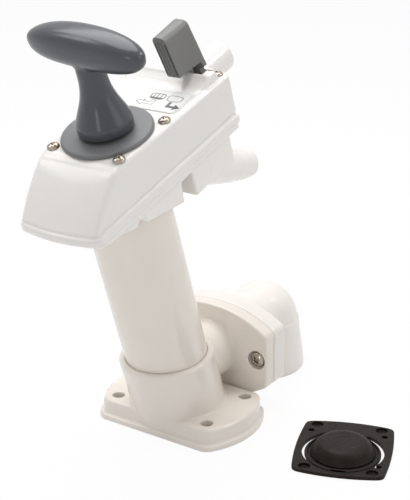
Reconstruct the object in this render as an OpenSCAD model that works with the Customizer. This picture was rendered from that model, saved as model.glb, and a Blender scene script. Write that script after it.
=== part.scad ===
// Hand pump for a boat's toilet and bilge water: a leaning piston pump on a bolted foot,
// with a rubber valve gasket for the suction port, shown lifted out beside the foot.
// Frame: origin at the middle of the foot's bolt pattern, on the underside; +Z up,
// the tube leans toward -Y, the discharge leaves toward +Y.

/* [Foot] */
// Thickness of the whole foot
base_t = 17.5; // [14:0.5:24]
// Thickness of the wider bottom ledge
ledge_t = 5; // [3:0.5:8]
// How far the ledge stands out all round
ledge_w = 3.2; // [1:0.1:6]
// Radius of the foot's round ends, about its own middle
foot_r = 67.1; // [64:0.1:80]
// Half depth of the foot, between its straight sides
foot_half_d = 42.4; // [41:0.1:55]
// Radius of the foot's corners
corner_r = 4.5; // [2:0.5:10]
// Bolt spacing across the pump
bolt_dx = 87; // [80:0.5:100]
// Bolt spacing front to back
bolt_dy = 55; // [48:0.5:60]
// Bolt hole diameter
bolt_hole = 10; // [6:0.5:12]
// Suction port diameter under the foot
port_d = 62; // [58:1:66]

/* [Pump tube] */
// Outer diameter of the tube
tube_od = 65; // [60:0.5:70]
// Wall of the tube
tube_wall = 4; // [3:0.25:6]
// Length of the tube
tube_len = 169; // [140:1:220]
// Lean of the tube from upright
lean = 18; // [0:1:25]
// Where the tube's axis meets the foot's top face, front to back
tube_y = -4.8; // [-8:0.1:0]
// Height of the tube's seat above the foot, along its axis
tube_seat = 36; // [32:0.5:44]
// Wall of the collar round the tube
collar_wall = 5; // [3:0.5:8]
// Height of the collar's mouth, along the axis
collar_rise = 50; // [46:0.5:70]
// Tilt of the collar's mouth from level
mouth_tilt = 7; // [0:1:18]
// Edge radius of the collar's mouth
mouth_edge = 3.5; // [1:0.5:4.5]

/* [Discharge] */
// Height of the discharge axis
outlet_z = 44.5; // [40:0.5:50]
// Bore of the outlet neck
outlet_bore = 30; // [24:1:32]
// Outer diameter of the outlet neck
neck_od = 49; // [44:1:56]
// Front face of the outlet plate, behind the foot's centre
plate_y = 41; // [40:0.5:50]
// Thickness of the outlet plate
plate_t = 12.5; // [8:0.5:16]
// Thickness of the elbow's plate
elbow_plate_t = 16.5; // [10:0.5:20]
// Half width of both plates
plate_half_w = 55; // [50:0.5:60]
// Half height of both plates
plate_half_h = 39.5; // [34:0.5:42]
// Radius of the plates' arched top and bottom
arch_r = 98; // [80:1:200]
// Spacing of the two clamping screws
clamp_dx = 90.8; // [80:0.2:98]
// Screw diameter of the clamping screws
clamp_d = 6; // [4:0.5:8]
// Outer diameter of the elbow's level pipe
elbow_od = 59; // [54:0.5:64]
// Bore of the elbow
elbow_bore = 44; // [38:0.5:48]
// Where the elbow turns down, behind the foot's centre
elbow_y = 120; // [105:1:140]
// Outer diameter of the elbow's upright leg
leg_od = 63; // [60:0.5:68]
// Outer diameter of the bell at the bottom
bell_od = 77; // [68:0.5:90]
// Height at which the bell starts to widen
bell_top = 36.5; // [25:0.5:42]
// Height of the bell's straight rim
bell_rim = 5.5; // [5:0.5:12]
// Edge radius under the bell
bell_edge = 3.5; // [1:0.5:4.5]
// Pipe size that the bell takes
socket_d = 48.4; // [45:0.1:60]
// Depth of the bell's socket
socket_depth = 24; // [15:1:30]

/* [Pump head] */
// Thickness of the head's top plate
head_plate_t = 8; // [6:0.5:12]
// Thickness of the head's outer flange
head_flange_t = 5; // [4:0.5:7]
// Half width of the head block under the cover
block_half_w = 35.5; // [34:0.25:36.5]
// Depth of the head block round the tube, at the back of the tube
block_drop = 26; // [20:0.5:40]
// Depth of the inlet chamber's block
chamber_drop = 33; // [30:0.5:40]
// Radius along the block's lower side edges
block_round = 4.5; // [2:0.5:6]
// Front of the inlet chamber's block
chamber_v = 38; // [36:0.5:44]
// Back of the inlet chamber's block
chamber_end = 90.5; // [84:0.5:92]
// Wall of the inlet chamber
chamber_wall = 4; // [2.5:0.5:6]
// Hose tail outer diameter, inlet and flush outlet
tail_od = 25.5; // [19:0.5:32]
// Wall of a hose tail
tail_wall = 3.25; // [2:0.25:5]
// Sideways place of the inlet tail
inlet_x = 22; // [16:0.5:22]
// Length of the inlet tail, from its root in the chamber
inlet_len = 69; // [60:1:90]
// Start of the inlet tail, behind the tube's axis
inlet_v = 60; // [58:0.5:62]
// Depth of the inlet tail's start below the deck
inlet_depth = 22.4; // [21:0.2:24]
// Drop of the inlet tail from the head's own level
inlet_drop = 30; // [20:1:45]
// Where the inlet tail's thicker root ends, from its start in the chamber
inlet_root = 43; // [42:1:50]
// How much thicker a hose tail is at its root
tail_shoulder = 1; // [0.5:0.25:2]
// Diameter of the valve ports
valve_port = 15; // [12:0.5:16]

/* [Cover] */
// Height of the cover above the head's deck
cover_h = 40.8; // [36:0.2:50]
// Wall of the cover
cover_wall = 4; // [3:0.25:6]
// Front corners of the cover, ahead of the tube's axis
cover_front = 72; // [68:0.5:80]
// Rear wall of the cover, behind the tube's axis
cover_rear = 98.5; // [97:0.5:102]
// How far the front bows out ahead of its corners
front_bow = 4; // [0:0.5:6]
// Corner radius of the front, seen from above
front_r = 5; // [4.5:0.5:12]
// Half width of the cover at the front
cover_half_front = 34.8; // [33:0.2:38]
// How much the front's top is narrower, on each side
cover_draft = 1.2; // [0:0.1:3]
// Half width of the cover at the rear
cover_half_rear = 41.6; // [40:0.2:46]
// Top edge of the sloping front, ahead of the tube's axis
brow_v = 35; // [33:0.5:45]
// How far the sloping front bulges
brow_bulge = 2.6; // [0:0.2:4]
// Edge radius of the cover
cover_edge = 4.5; // [2:0.5:6]
// How far the rim bead stands out
bead = 2; // [1:0.25:3]
// Height of the rim bead
bead_h = 8; // [5:0.5:10]
// Thickness of the valve gasket under the cover
gasket_t = 2; // [1:0.25:4]
// Height of the flush outlet tail's axis above the deck
outlet_tail_h = 24.6; // [22:0.2:26]
// Far end of the flush outlet tail, behind the tube's axis
outlet_tail_end = 144; // [120:1:160]

/* [Lever housing] */
// Front foot of the raised housing
hump_v = 62.5; // [60:0.5:64]
// Height of the housing above the cover
hump_h = 7.2; // [5:0.2:10]
// Length of the ramp in front of the housing
ramp_len = 17; // [10:0.5:20]
// Half width of the housing, at its top
hump_half_w = 37.5; // [33:0.5:39]

/* [Flush lever] */
// Sideways place of the lever's spindle
pivot_x = 20.6; // [19.5:0.1:22]
// Depth of the spindle below the cover's top
pivot_drop = 9.8; // [8.5:0.1:12]
// Spindle diameter
spindle_d = 8; // [6:0.5:9]
// Thickness of the paddle
paddle_t = 11.3; // [8:0.1:12]
// Front of the paddle
paddle_front = 65; // [63:0.5:72]
// Back of the paddle
paddle_back = 95.5; // [93:0.5:97]
// Bottom of the paddle, above the spindle
paddle_low = 21.2; // [20.6:0.1:26]
// Top of the paddle, above the spindle
paddle_high = 53.5; // [40:0.1:60]
// Tilt of the lever in its rest position, and as much past upright
lever_tilt = 13.4; // [8:0.2:14]

/* [Piston rod and handle] */
// Rod diameter
rod_d = 12; // [10:0.5:14]
// Travel of the piston
stroke = 125; // [90:1:130]
// Height of the piston's underside above the tube's seat, pushed down
piston_low = 10; // [9:0.5:14]
// Length of the piston
piston_t = 18; // [14:0.5:24]
// Gap between the handle and the gland disc, pushed down
handle_gap = 2.2; // [1:0.1:5]
// Diameter of the handle's skirt
skirt_d = 41; // [36:0.2:50]
// Diameter of the handle's neck
neck_d = 20.8; // [19:0.2:26]
// Height of the narrowest part of the neck, above the skirt
neck_h = 42; // [38:0.5:48]
// Height of the grip's middle above the skirt
grip_h = 64; // [58:0.5:76]
// Half length of the grip
grip_half = 52; // [45:0.5:60]
// Thickness of the grip
grip_d = 29; // [24:0.5:34]
// Droop of the grip's ends
grip_droop = 3.6; // [0:0.2:6]
// Turn of the handle at rest
handle_turn = -5; // [-180:5:180]

/* [Gland] */
// Diameter of the gland disc
gland_d = 67.6; // [60:0.2:68]
// Thickness of the gland disc
gland_t = 3.5; // [2.5:0.25:6]
// Diameter of the gland's stem
stem_d = 32; // [28:0.5:36]
// Depth of the gland's stem
stem_len = 20; // [16:0.5:24]

/* [Screws] */
// Cover screw diameter
screw_d = 5; // [4:0.5:6]
// Cover screw head diameter
screw_head_d = 9.4; // [8:0.1:11]
// Height of a cover screw's head
screw_head_h = 3.2; // [2:0.1:4]
// Length of a cover screw under its head
screw_len = 44; // [42:0.5:45]

/* [Suction valve gasket] */
// Where the loose gasket lies, to the side
loose_x = 139.7; // [125:0.1:180]
// Where the loose gasket lies, to the back
loose_y = 20.6; // [-40:0.1:60]
// How far the loose gasket is turned
loose_turn = 21.5; // [-180:0.5:180]
// Thickness of the gasket
rubber_t = 3; // [2:0.25:5]
// Half width of the gasket at its middle
rubber_half_w = 37.5; // [36:0.25:42]
// Half depth of the gasket at its middle
rubber_half_d = 42; // [41:0.25:48]
// Fixing hole spacing, across
rubber_dx = 51.4; // [48:0.2:56]
// Fixing hole spacing, front to back
rubber_dy = 67; // [64:0.2:70]
// Fixing hole diameter
rubber_hole = 6; // [4:0.25:7]
// Radius of the flap
flap_r = 28.8; // [26:0.2:30]
// Width of the slot round the flap
flap_slot = 3; // [2:0.25:3.5]
// Foot radius of the flap's boss
boss_r = 25.5; // [22:0.25:26]
// Top radius of the flap's boss
boss_top_r = 21; // [18:0.25:24]
// Height of the flap's boss
boss_h = 9; // [6:0.5:14]

/* [Hidden] */
$fn = 96;

big = 400;                    // larger than the part, for cutting planes
fit = 0.05;                   // radial clearance of a close fit
gap = 0.3;                    // clearance between pieces that only pass each other
tube_r = tube_od / 2;
bore_r = tube_r - tube_wall;
tube_top = tube_seat + tube_len;
deck = tube_top + head_plate_t;
plate_end = plate_y + plate_t;
elbow_face = plate_end + elbow_plate_t;

function unit(v) = v / norm(v);

// Points of an arc about c.
function arc(c, r, from, to, steps = 8) =
    [for (i = [0:steps]) c + r * [cos(from + (to - from) * i / steps), sin(from + (to - from) * i / steps)]];

// An outline with each corner rounded to its own radius of the list radii.
function rounded(pts, radii, steps = 5) = [
    for (i = [0:len(pts) - 1])
        let (
            p = pts[i],
            r = radii[i],
            a = unit(pts[(i + len(pts) - 1) % len(pts)] - p),
            b = unit(pts[(i + 1) % len(pts)] - p),
            half = acos(a * b) / 2,
            c = p + unit(a + b) * r / sin(half),
            start = p + a * r / tan(half),
            end = p + b * r / tan(half)
        )
        for (k = [0:steps])
            c + r * unit(start + (end - start) * k / steps - c)
];

// The tube's own frame: z along its axis from the foot's top face, y toward the back.
module tube_frame() {
    translate([0, tube_y, base_t]) rotate([lean, 0, 0]) children();
}

// The head's frame: as the tube's, from the deck under the cover.
module head_frame() {
    tube_frame() translate([0, 0, deck]) children();
}

// Lays children, drawn upright along z, along +y.
module along_y() {
    rotate([-90, 0, 0]) children();
}

module ring(outer_r, inner_r, h) {
    difference() {
        cylinder(r = outer_r, h = h);
        translate([0, 0, -1]) cylinder(r = inner_r, h = h + 2);
    }
}

module o_ring(mid_r, cord_r) {
    rotate_extrude() translate([mid_r, 0]) circle(cord_r, $fn = 32);
}

// A side outline in (y, z), stretched across x.
module across_x(half, pts) {
    rotate([90, 0, 90]) translate([0, 0, -half]) linear_extrude(2 * half) polygon(pts);
}

// ---------- Foot ----------

// A disc of radius r cut by two straight sides, with corners that run smoothly into both.
module foot_outline(r, half_d) {
    corner_y = half_d - corner_r;
    corner_x = sqrt(pow(r - corner_r, 2) - pow(corner_y, 2));
    reach = 2 * [corner_x, corner_y];
    square([2 * corner_x, 2 * half_d], center = true);
    for (side = [0, 1])
        mirror([side, 0]) intersection() {
            circle(r);
            polygon([[0, 0], [reach.x, -reach.y], reach]);
        }
    for (sx = [-1, 1], sy = [-1, 1])
        translate([sx * corner_x, sy * corner_y]) circle(corner_r);
}

// The collar: the tube's socket wall, cut at its tilted mouth with a rounded edge.
module collar() {
    collar_r = tube_r + collar_wall;
    mouth_r = collar_r / cos(lean - mouth_tilt);
    below = collar_rise + base_t;
    intersection() {
        tube_frame() translate([0, 0, -tube_r]) cylinder(r = collar_r, h = tube_r + 2 * collar_rise);
        tube_frame() translate([0, 0, collar_rise]) rotate([mouth_tilt - lean, 0, 0]) rotate_extrude()
            polygon(concat([[0, -2 * below], [0, 0]],
                arc([mouth_r - mouth_edge, -mouth_edge], mouth_edge, 90, 0),
                [[mouth_r + below, -2 * below]]));
        translate([-big / 2, -big / 2, 0]) cube(big);
    }
}

// The flat outline of both discharge plates, upright in the x-z plane.
module plate_outline() {
    intersection() {
        square([2 * plate_half_w, 2 * plate_half_h], center = true);
        translate([0, plate_half_h - arch_r]) circle(arch_r, $fn = 180);
        translate([0, arch_r - plate_half_h]) circle(arch_r, $fn = 180);
    }
}

module upright_plate(y, t) {
    translate([0, y + t, outlet_z]) rotate([90, 0, 0]) linear_extrude(t) plate_outline();
}

seal_cord = 1.2;              // cord radius of the tube's foot seal
seal_w = tube_seat + 2.5;     // its place along the tube
clamp_sink = 4;               // depth of the clamping screws' head recess
clamp_recess_d = clamp_d + 10;

module base() color("white") {
    port_h = base_t + 3;
    web_half = 11;            // half width of the web under the neck
    difference() {
        union() {
            linear_extrude(ledge_t) foot_outline(foot_r, foot_half_d);
            linear_extrude(base_t) foot_outline(foot_r - ledge_w, foot_half_d - ledge_w);
            collar();
            translate([0, 0, outlet_z]) along_y() cylinder(d = neck_od, h = plate_y + 1);
            translate([-web_half, 0, 0]) cube([2 * web_half, plate_end - 1, outlet_z]);
            upright_plate(plate_y, plate_t);
        }
        translate([0, 0, -1]) cylinder(d = port_d, h = port_h + 1);
        tube_frame() translate([0, 0, -bore_r / 4]) cylinder(r = bore_r, h = tube_seat + bore_r);
        tube_frame() translate([0, 0, tube_seat]) cylinder(r = tube_r + fit, h = big);
        tube_frame() translate([0, 0, seal_w - seal_cord - fit])
            cylinder(r = tube_r + 2 * seal_cord + fit, h = 2 * (seal_cord + fit));
        translate([0, 0, outlet_z]) along_y() cylinder(d = outlet_bore, h = big);
        for (sx = [-1, 1], sy = [-1, 1])
            translate([sx * bolt_dx / 2, sy * bolt_dy / 2, -1]) cylinder(d = bolt_hole, h = base_t + 2);
        for (sx = [-1, 1])
            translate([sx * clamp_dx / 2, plate_y, outlet_z]) along_y() {
                translate([0, 0, -1]) cylinder(d = clamp_d + 2 * gap, h = plate_t + 2);
                translate([0, 0, -1]) cylinder(d = clamp_recess_d, h = clamp_sink + 1);
            }
    }
}

// ---------- Tube and piston ----------

module cylinder_tube() color("ivory")
    tube_frame() translate([0, 0, tube_seat]) ring(tube_r, bore_r, tube_len);

module tube_seal() color("black")
    tube_frame() translate([0, 0, seal_w]) o_ring(tube_r + seal_cord, seal_cord);

piston_w = tube_seat + piston_low;
rod_end = piston_w - 6;                       // lower end of the rod, below its nut
piston_r = bore_r - 0.8;
groove_h = 7;                                 // height of the piston's seal groove
groove_r = bore_r - 4;
nut_h = 5;
nut_d = rod_d * 1.8;
thread_d = rod_d - 4;                         // the rod's turned-down end

module piston() color("gainsboro")
    tube_frame() translate([0, 0, piston_w]) difference() {
        cylinder(r = piston_r, h = piston_t);
        translate([0, 0, -1]) cylinder(d = thread_d + 2 * fit, h = piston_t + 2);
        translate([0, 0, (piston_t - groove_h) / 2]) ring(piston_r + 1, groove_r, groove_h);
    }

// The cup ring that seals the piston and slides in the bore.
module piston_seal() color("black")
    tube_frame() translate([0, 0, piston_w + (piston_t - groove_h) / 2 + fit])
        ring(bore_r - fit, groove_r + fit, groove_h - 2 * fit);

module piston_nut() color("silver")
    tube_frame() translate([0, 0, piston_w - nut_h]) difference() {
        cylinder(d = nut_d, h = nut_h, $fn = 6);
        translate([0, 0, -1]) cylinder(d = thread_d + 2 * fit, h = nut_h + 2);
    }

skirt_w = deck + cover_h + gland_t + handle_gap;
rod_top = skirt_w + neck_h - 4;               // the rod ends inside the handle's neck

module piston_rod() color("silver")
    tube_frame() {
        translate([0, 0, rod_end]) cylinder(d = thread_d, h = piston_w + piston_t - rod_end);
        translate([0, 0, piston_w + piston_t]) cylinder(d = rod_d, h = rod_top - piston_w - piston_t);
    }

// ---------- Handle ----------

// The grip's radius at x, full in the middle and blunt at the ends.
function grip_r(x) = grip_d / 2 * pow(1 - pow(abs(x) / grip_half, 2.4), 0.415);

module grip() {
    end_r = 5;                // radius of the last ball, at each tip
    steps = 5;
    hull()
        for (side = [-1, 1], i = [0:steps]) {
            x = (grip_half - end_r) * sin(90 * i / steps);
            r = i == steps ? end_r : min(grip_r(x), grip_half - x);
            translate([side * x, 0, grip_h - grip_droop * pow(x / grip_half, 2)]) sphere(r, $fn = 32);
        }
}

module handle() color("slategray") {
    skirt_r = skirt_d / 2;
    neck_r = neck_d / 2;
    wall_h = 6;               // height of the skirt's upright wall
    edge = 7;                 // radius from that wall into the cone
    flare = 23.5;             // slope of the cone, from upright
    cone_r = skirt_r - edge + edge * cos(flare);
    cone_z = wall_h + edge * sin(flare);
    sweep_r = (tan(flare) * (neck_h - cone_z) - cone_r + neck_r) / (tan(flare) * sin(flare) - 1 + cos(flare));
    tube_frame() translate([0, 0, skirt_w]) rotate(handle_turn) difference() {
        union() {
            rotate_extrude() polygon(concat(
                [[0, 0], [skirt_r - 1, 0], [skirt_r, 1]],
                arc([skirt_r - edge, wall_h], edge, 0, flare, 3),
                arc([neck_r + sweep_r, neck_h], sweep_r, 180 + flare, 180, 6),
                [[neck_r, grip_h], [0, grip_h]]));
            grip();
        }
        translate([0, 0, -1]) cylinder(d = rod_d + 2 * fit, h = rod_top - skirt_w + 1);
    }
}

// ---------- Head ----------

// Half width of the cover at a place front to back.
function cover_half(v) =
    cover_half_front + (cover_half_rear - cover_half_front) * (v + cover_front) / (cover_rear + cover_front);

// How far ahead of its corners the front lies, at a share of its half width.
function bow(share) = front_bow * (1 - share * share);

// The cover's outline seen from above, moved inward by inset.
module plan(inset) {
    front = -cover_front + inset;
    rear = cover_rear - inset;
    half = cover_half(front) - inset;
    steps = 6;
    front_corner = max(front_r - inset, 2);
    rear_corner = max(cover_edge - inset, 1);
    bowed = [for (i = [0:steps]) let (share = 2 * i / steps - 1) [share * half, front - bow(share)]];
    polygon(rounded(concat(bowed, [[cover_half(rear) - inset, rear], [-cover_half(rear) + inset, rear]]),
        [for (i = [0:steps + 2]) i == 0 || i == steps ? front_corner : rear_corner]));
}

flange_inset = 1 + gap;       // the head's flange stands this far inside the cover's wall
port_r = valve_port / 2;
inlet_port = [inlet_x - 1, 65.5];
return_port = [-18, 51];
outlet_port = [-18, 76];
tail_r = tail_od / 2;
tail_bore_r = tail_r - tail_wall;
tail_root = [inlet_x, inlet_v, -inlet_depth];

// The places of the six cover screws and the height of the face each sits on.
screw_side = cover_half_rear - 9.2;
screw_rear_v = cover_rear - 5.2;
pocket = 1;                   // depth of the rear screws' seats
cover_screw_places = [for (side = [-1, 1]) each [
    [side * (cover_half_front - cover_draft - 4.2), 8.8 - brow_v, cover_h],
    [side * (cover_half_front - cover_draft - 2.4), 26.5, cover_h],
    [side * screw_side, screw_rear_v, cover_h - pocket]]];

// The head flange's side outline in (y, z): its underside slopes up to the front.
flange_front = cover_front + 1;
flange_side = [[-flange_front, 0], [-flange_front, -1.2], [11 - cover_front, -head_flange_t],
    [cover_rear + bead, -head_flange_t], [cover_rear + bead, 0]];

// The head's side outline in (y, z), below the deck.
function block_side() = [
    [-59, -head_flange_t + 1], [-59, -1], [chamber_end, -1],
    [chamber_end, -chamber_drop], [chamber_v + 1.5, 1.5 - chamber_drop], [chamber_v, -10],
    [25, -10], [23, -block_drop], [-19.5, -block_drop + 11.2], [-20.5, -8.2], [-28, -8.5],
    [-30.7, -12]];

module inlet_axis() {
    translate(tail_root) along_y() rotate([-inlet_drop, 0, 0]) children();
}

// Takes the lower side edges of the chamber's block round, and leaves the rest.
module lower_rounding() {
    low = block_round - chamber_drop;
    translate([-big / 2, -big / 2, low]) cube([big, big, chamber_drop]);
    translate([-big / 2, chamber_v - 10 - big, -chamber_drop - 1]) cube([big, big, chamber_drop]);
    translate([block_round - block_half_w, -big / 2, -chamber_drop - 1])
        cube([2 * (block_half_w - block_round), big, chamber_drop]);
    for (side = [-1, 1])
        translate([side * (block_half_w - block_round), 0, low]) along_y() cylinder(r = block_round, h = big);
}

// A chamber in the head's block, between two places front to back and side to side.
module block_chamber(x0, x1) {
    floor_h = chamber_wall + 4 - chamber_drop;
    translate([x0, chamber_v + chamber_wall, floor_h])
        cube([x1 - x0, chamber_end - chamber_v - 2 * chamber_wall, 2 - head_plate_t - floor_h]);
}

module valve_body() color("whitesmoke")
    head_frame() {
        seat = -head_plate_t;
        side_x = block_half_w - chamber_wall;
        difference() {
            union() {
                intersection() {
                    translate([0, 0, -head_flange_t]) linear_extrude(head_flange_t) plan(0);
                    across_x(cover_half_rear + bead, flange_side);
                }
                intersection() {
                    across_x(block_half_w, block_side());
                    translate([0, 0, -chamber_drop - 1]) linear_extrude(chamber_drop + 1) plan(flange_inset);
                    lower_rounding();
                }
                inlet_axis() cylinder(r = tail_r, h = inlet_len);
                inlet_axis() cylinder(r = tail_r + tail_shoulder, h = inlet_root);
            }
            translate([0, 0, seat - big]) cylinder(r = tube_r + fit, h = big);
            translate([0, 0, -1 - head_plate_t]) cylinder(d = stem_d, h = head_plate_t + 2);
            translate([0, 0, seat - 1]) ring(tube_r - 0.7, tube_r - 3.3, 1 + head_seal_h);
            block_chamber(chamber_wall / 2, side_x);
            block_chamber(-side_x, -chamber_wall / 2);
            inlet_axis() translate([0, 0, 8]) cylinder(r = tail_bore_r, h = inlet_len);
            for (p = [inlet_port, return_port, outlet_port])
                translate([p.x, p.y, -head_plate_t - 3]) cylinder(r = port_r, h = head_plate_t + 4);
            for (p = cover_screw_places)
                translate([p.x, p.y, 0.5 - head_flange_t])
                    cylinder(d = screw_d + 2 * fit, h = head_flange_t);
        }
    }

head_seal_cord = 1.05;
head_seal_h = 2 * head_seal_cord + fit;

module head_seal() color("black")
    head_frame() translate([0, 0, -head_plate_t + head_seal_cord]) o_ring(tube_r - 2, head_seal_cord);

module top_valve_gasket() color("dimgray")
    head_frame() difference() {
        linear_extrude(gasket_t) plan(flange_inset);
        translate([0, 0, -1]) cylinder(d = stem_d, h = gasket_t + 2);
        for (p = [inlet_port, return_port, outlet_port])
            translate([p.x, p.y, -1]) cylinder(r = port_r, h = gasket_t + 2);
        for (p = cover_screw_places)
            translate([p.x, p.y, -1]) cylinder(d = screw_d + 2 * gap, h = gasket_t + 2);
    }

flap_t = 2.5;                 // thickness of a valve flap under the cover
flap_cover = 2;               // how far a flap laps over its port

// A hinged rubber disc over a port, with its hinge bar at the front.
module port_flap(port)
    head_frame() translate([port.x, port.y, gasket_t + gap]) {
        cylinder(r = port_r + flap_cover, h = flap_t);
        translate([-5, -port_r - flap_cover - 1.5, 0]) cube([10, 5, flap_t]);
    }

module inlet_flap() color("black")
    port_flap(inlet_port);

module outlet_flap() color("black")
    port_flap(outlet_port);

// ---------- Cover ----------

pivot_h = cover_h - pivot_drop;
shelf_h = bead_h;             // the cover's front wall rises from the bead
slope = [cover_front - brow_v, cover_h - shelf_h];
slope_a = atan2(slope.y, slope.x);

// A place on the sloping front in (y, z), at a share of its length, moved inward by inset.
function front_at(share, inset) =
    [-cover_front, shelf_h] + share * slope
        + (4 * brow_bulge * share * (1 - share) - inset) * [-sin(slope_a), cos(slope_a)];

// The cover's side outline in (y, z), moved inward by inset, from the level low.
function cover_side(inset, low) = concat(
    [[cover_rear - inset, low], [cover_rear - inset, cover_h - inset]],
    [[-brow_v + inset * tan(slope_a / 2), cover_h - inset]],
    [for (share = [0.75, 0.5, 0.25]) front_at(share, inset)],
    [[-cover_front + inset, shelf_h - inset * tan(45 - slope_a / 2)], [-cover_front + inset, low]]);

// The cover as a solid, with every edge rounded and its front bowed.
module cover_solid() {
    e = cover_edge;
    facets = 24;
    levels = concat([front_at(0, e) + [-0.5, 0]], [for (share = [0.25, 0.5, 0.75]) front_at(share, e)],
        [[-brow_v + e * tan(slope_a / 2), cover_h - e]]);
    hull() {
        for (p = levels, share = [-1, -0.5, 0, 0.5, 1]) {
            rise = p.y / cover_h;
            half = cover_half(p.x) - cover_draft * rise - e;
            translate([share * half, p.x - bow(share) * (1 - rise), p.y]) sphere(e, $fn = facets);
        }
        for (share = [-1, -0.5, 0, 0.5, 1])
            translate([share * (cover_half(-cover_front) - e), e - cover_front - bow(share), gasket_t])
                cylinder(r = e, h = 1, $fn = facets);
        for (side = [-1, 1]) {
            corner = [side * (cover_half(cover_rear) - e), cover_rear - e];
            translate([corner.x, corner.y, gasket_t]) cylinder(r = e, h = 1, $fn = facets);
            translate([corner.x, corner.y, cover_h - e]) sphere(e, $fn = facets);
        }
    }
}

// The room inside the cover's walls.
module cover_inside(low) {
    intersection() {
        across_x(cover_half_rear, cover_side(cover_wall, low));
        translate([0, 0, low]) linear_extrude(cover_h) plan(cover_wall);
    }
}

// The raised housing behind the label: a hollow ramp in front, sloping sides and
// two scooped corners for the rear screws.
module hump() {
    scoop_room = 3.4;         // how much wider than a screw head a scoop is
    shoulders = [[0.8, 0], [0.92, 3], [1, 8], [1, 19]];   // half width and place along the top
    top = cover_h + hump_h;
    root = cover_h - cover_wall;
    foot_half = cover_half(hump_v) - 1.6;
    ramp_r = (ramp_len * ramp_len + hump_h * hump_h) / (2 * hump_h);
    ramp_a = asin(ramp_len / ramp_r);
    difference() {
        intersection() {
            across_x(cover_half_rear, concat(
                [[cover_rear - 0.5, root], [cover_rear - 0.5, top - 1], [cover_rear - 1.5, top]],
                arc([hump_v, cover_h + ramp_r], ramp_r, ramp_a - 90, -90, 6), [[hump_v, root]]));
            hull() {
                translate([0, 0, root]) linear_extrude(cover_wall - 1.5)
                    polygon([[-foot_half, hump_v], [foot_half, hump_v], [foot_half + 1.4, cover_rear - 1],
                        [-foot_half - 1.4, cover_rear - 1]]);
                translate([0, 0, top - 0.5]) linear_extrude(0.5)
                    polygon([
                        for (p = shoulders) [p.x * hump_half_w, hump_v + ramp_len + p.y],
                        for (i = [len(shoulders) - 1:-1:0])
                            [-shoulders[i].x * hump_half_w, hump_v + ramp_len + shoulders[i].y]]);
            }
        }
        for (side = [-1, 1])
            translate([side * screw_side, screw_rear_v, cover_h - pocket])
                cylinder(d = screw_head_d + scoop_room, h = big);
    }
}

slot_v = hump_v + ramp_len + 1;   // front of the slot for the lever's foot
bulkhead_v = slot_v - 4;      // the wall that carries the spindle starts here
slot_end = cover_rear - 3;
slot_half = 8.6;              // half width of the slot in the housing's top
hub_r = 6;
finger_w = 4;

// The lever's frame: y along the spindle, z up the lever, at its rest tilt.
module lever_frame(tilt)
    head_frame() translate([pivot_x, 0, pivot_h]) rotate([0, tilt, 0]) children();

// The room that the lever needs in the housing: the hub's room, the slot over it,
// and the way out at the back for the paddle's lower corner.
module lever_room() {
    hub_half = hub_r + 1.3;
    way_half = 12.5;          // half width of the way out at the back
    length = slot_end - slot_v;
    translate([pivot_x - hub_half, slot_v, pivot_h - hub_r - 0.8]) cube([2 * hub_half, length, cover_h]);
    translate([pivot_x - slot_half, slot_v, cover_h - 6]) cube([2 * slot_half, length, cover_h]);
    translate([pivot_x - way_half, slot_v + 9, cover_h + 1.5]) cube([2 * way_half, big, cover_h]);
}

module cover_chambers() {
    low = gasket_t;
    front_end = 58;
    wall = 3.5;
    divide_x = 6.5;           // the inlet side starts here, right of the wall between the chambers
    rear_top = outlet_tail_h + tail_bore_r;
    intersection() {
        cover_inside(low - 1);
        union() {
            translate([-big / 2, -cover_front, low - 1]) cube([big, cover_front + front_end, cover_h]);
            translate([divide_x, 0, low - 1]) cube([big, bulkhead_v, cover_h]);
            translate([-big, front_end + wall, low - 1]) cube([big + divide_x - wall, cover_rear, cover_h]);
            translate([-big, bulkhead_v + wall, low - 1])
                cube([big + tail_bore_r + 0.5, cover_rear, rear_top]);
        }
    }
}

module top_cover() color("white")
    head_frame() difference() {
        union() {
            difference() {
                union() {
                    cover_solid();
                    linear_extrude(bead_h) plan(-bead / 2);
                    translate([0, 0, 1]) linear_extrude(bead_h - 2) plan(-bead);
                }
                translate([0, 0, -1]) linear_extrude(1 + gasket_t) plan(flange_inset - gap);
                cover_chambers();
            }
            intersection() {
                union() {
                    for (p = cover_screw_places)
                        translate([p.x, p.y, gasket_t]) cylinder(d = screw_d + 6, h = cover_h - gasket_t - 1);
                    translate([0, 0, cover_h - stem_len - 2]) cylinder(d = stem_d + 8, h = stem_len);
                }
                linear_extrude(cover_h) plan(0.5);
            }
            hump();
            translate([0, cover_rear - cover_wall + 1, outlet_tail_h]) along_y() {
                cylinder(r = tail_r, h = outlet_tail_end - cover_rear + cover_wall - 1);
                cylinder(r = tail_r + tail_shoulder, h = cover_wall + bead + 0.5);
            }
        }
        translate([0, bulkhead_v + 6, outlet_tail_h]) along_y() cylinder(r = tail_bore_r, h = big);
        translate([0, 0, cover_h - stem_len - 3]) cylinder(d = stem_d + 2 * fit, h = big);
        translate([0, 0, cover_h - 8 - fit])
            ring(stem_d / 2 + gland_cord + fit, stem_d / 2 - 1, 2 * gland_cord + 2 * fit);
        lever_room();
        translate([pivot_x, bulkhead_v - 1, pivot_h]) along_y()
            cylinder(d = spindle_d + 2 * fit, h = slot_end - bulkhead_v + 2.5);
        translate([pivot_x, bulkhead_v + 0.6, pivot_h]) along_y()
            cylinder(r = spindle_d / 2 + 2 * spindle_cord + fit, h = 2 * (spindle_cord + fit));
        for (p = cover_screw_places)
            translate([p.x, p.y, 0]) {
                cylinder(d = screw_d + 2 * gap, h = big);
                translate([0, 0, p.z]) cylinder(d = screw_head_d + 2 * gap, h = big);
            }
    }

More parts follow.
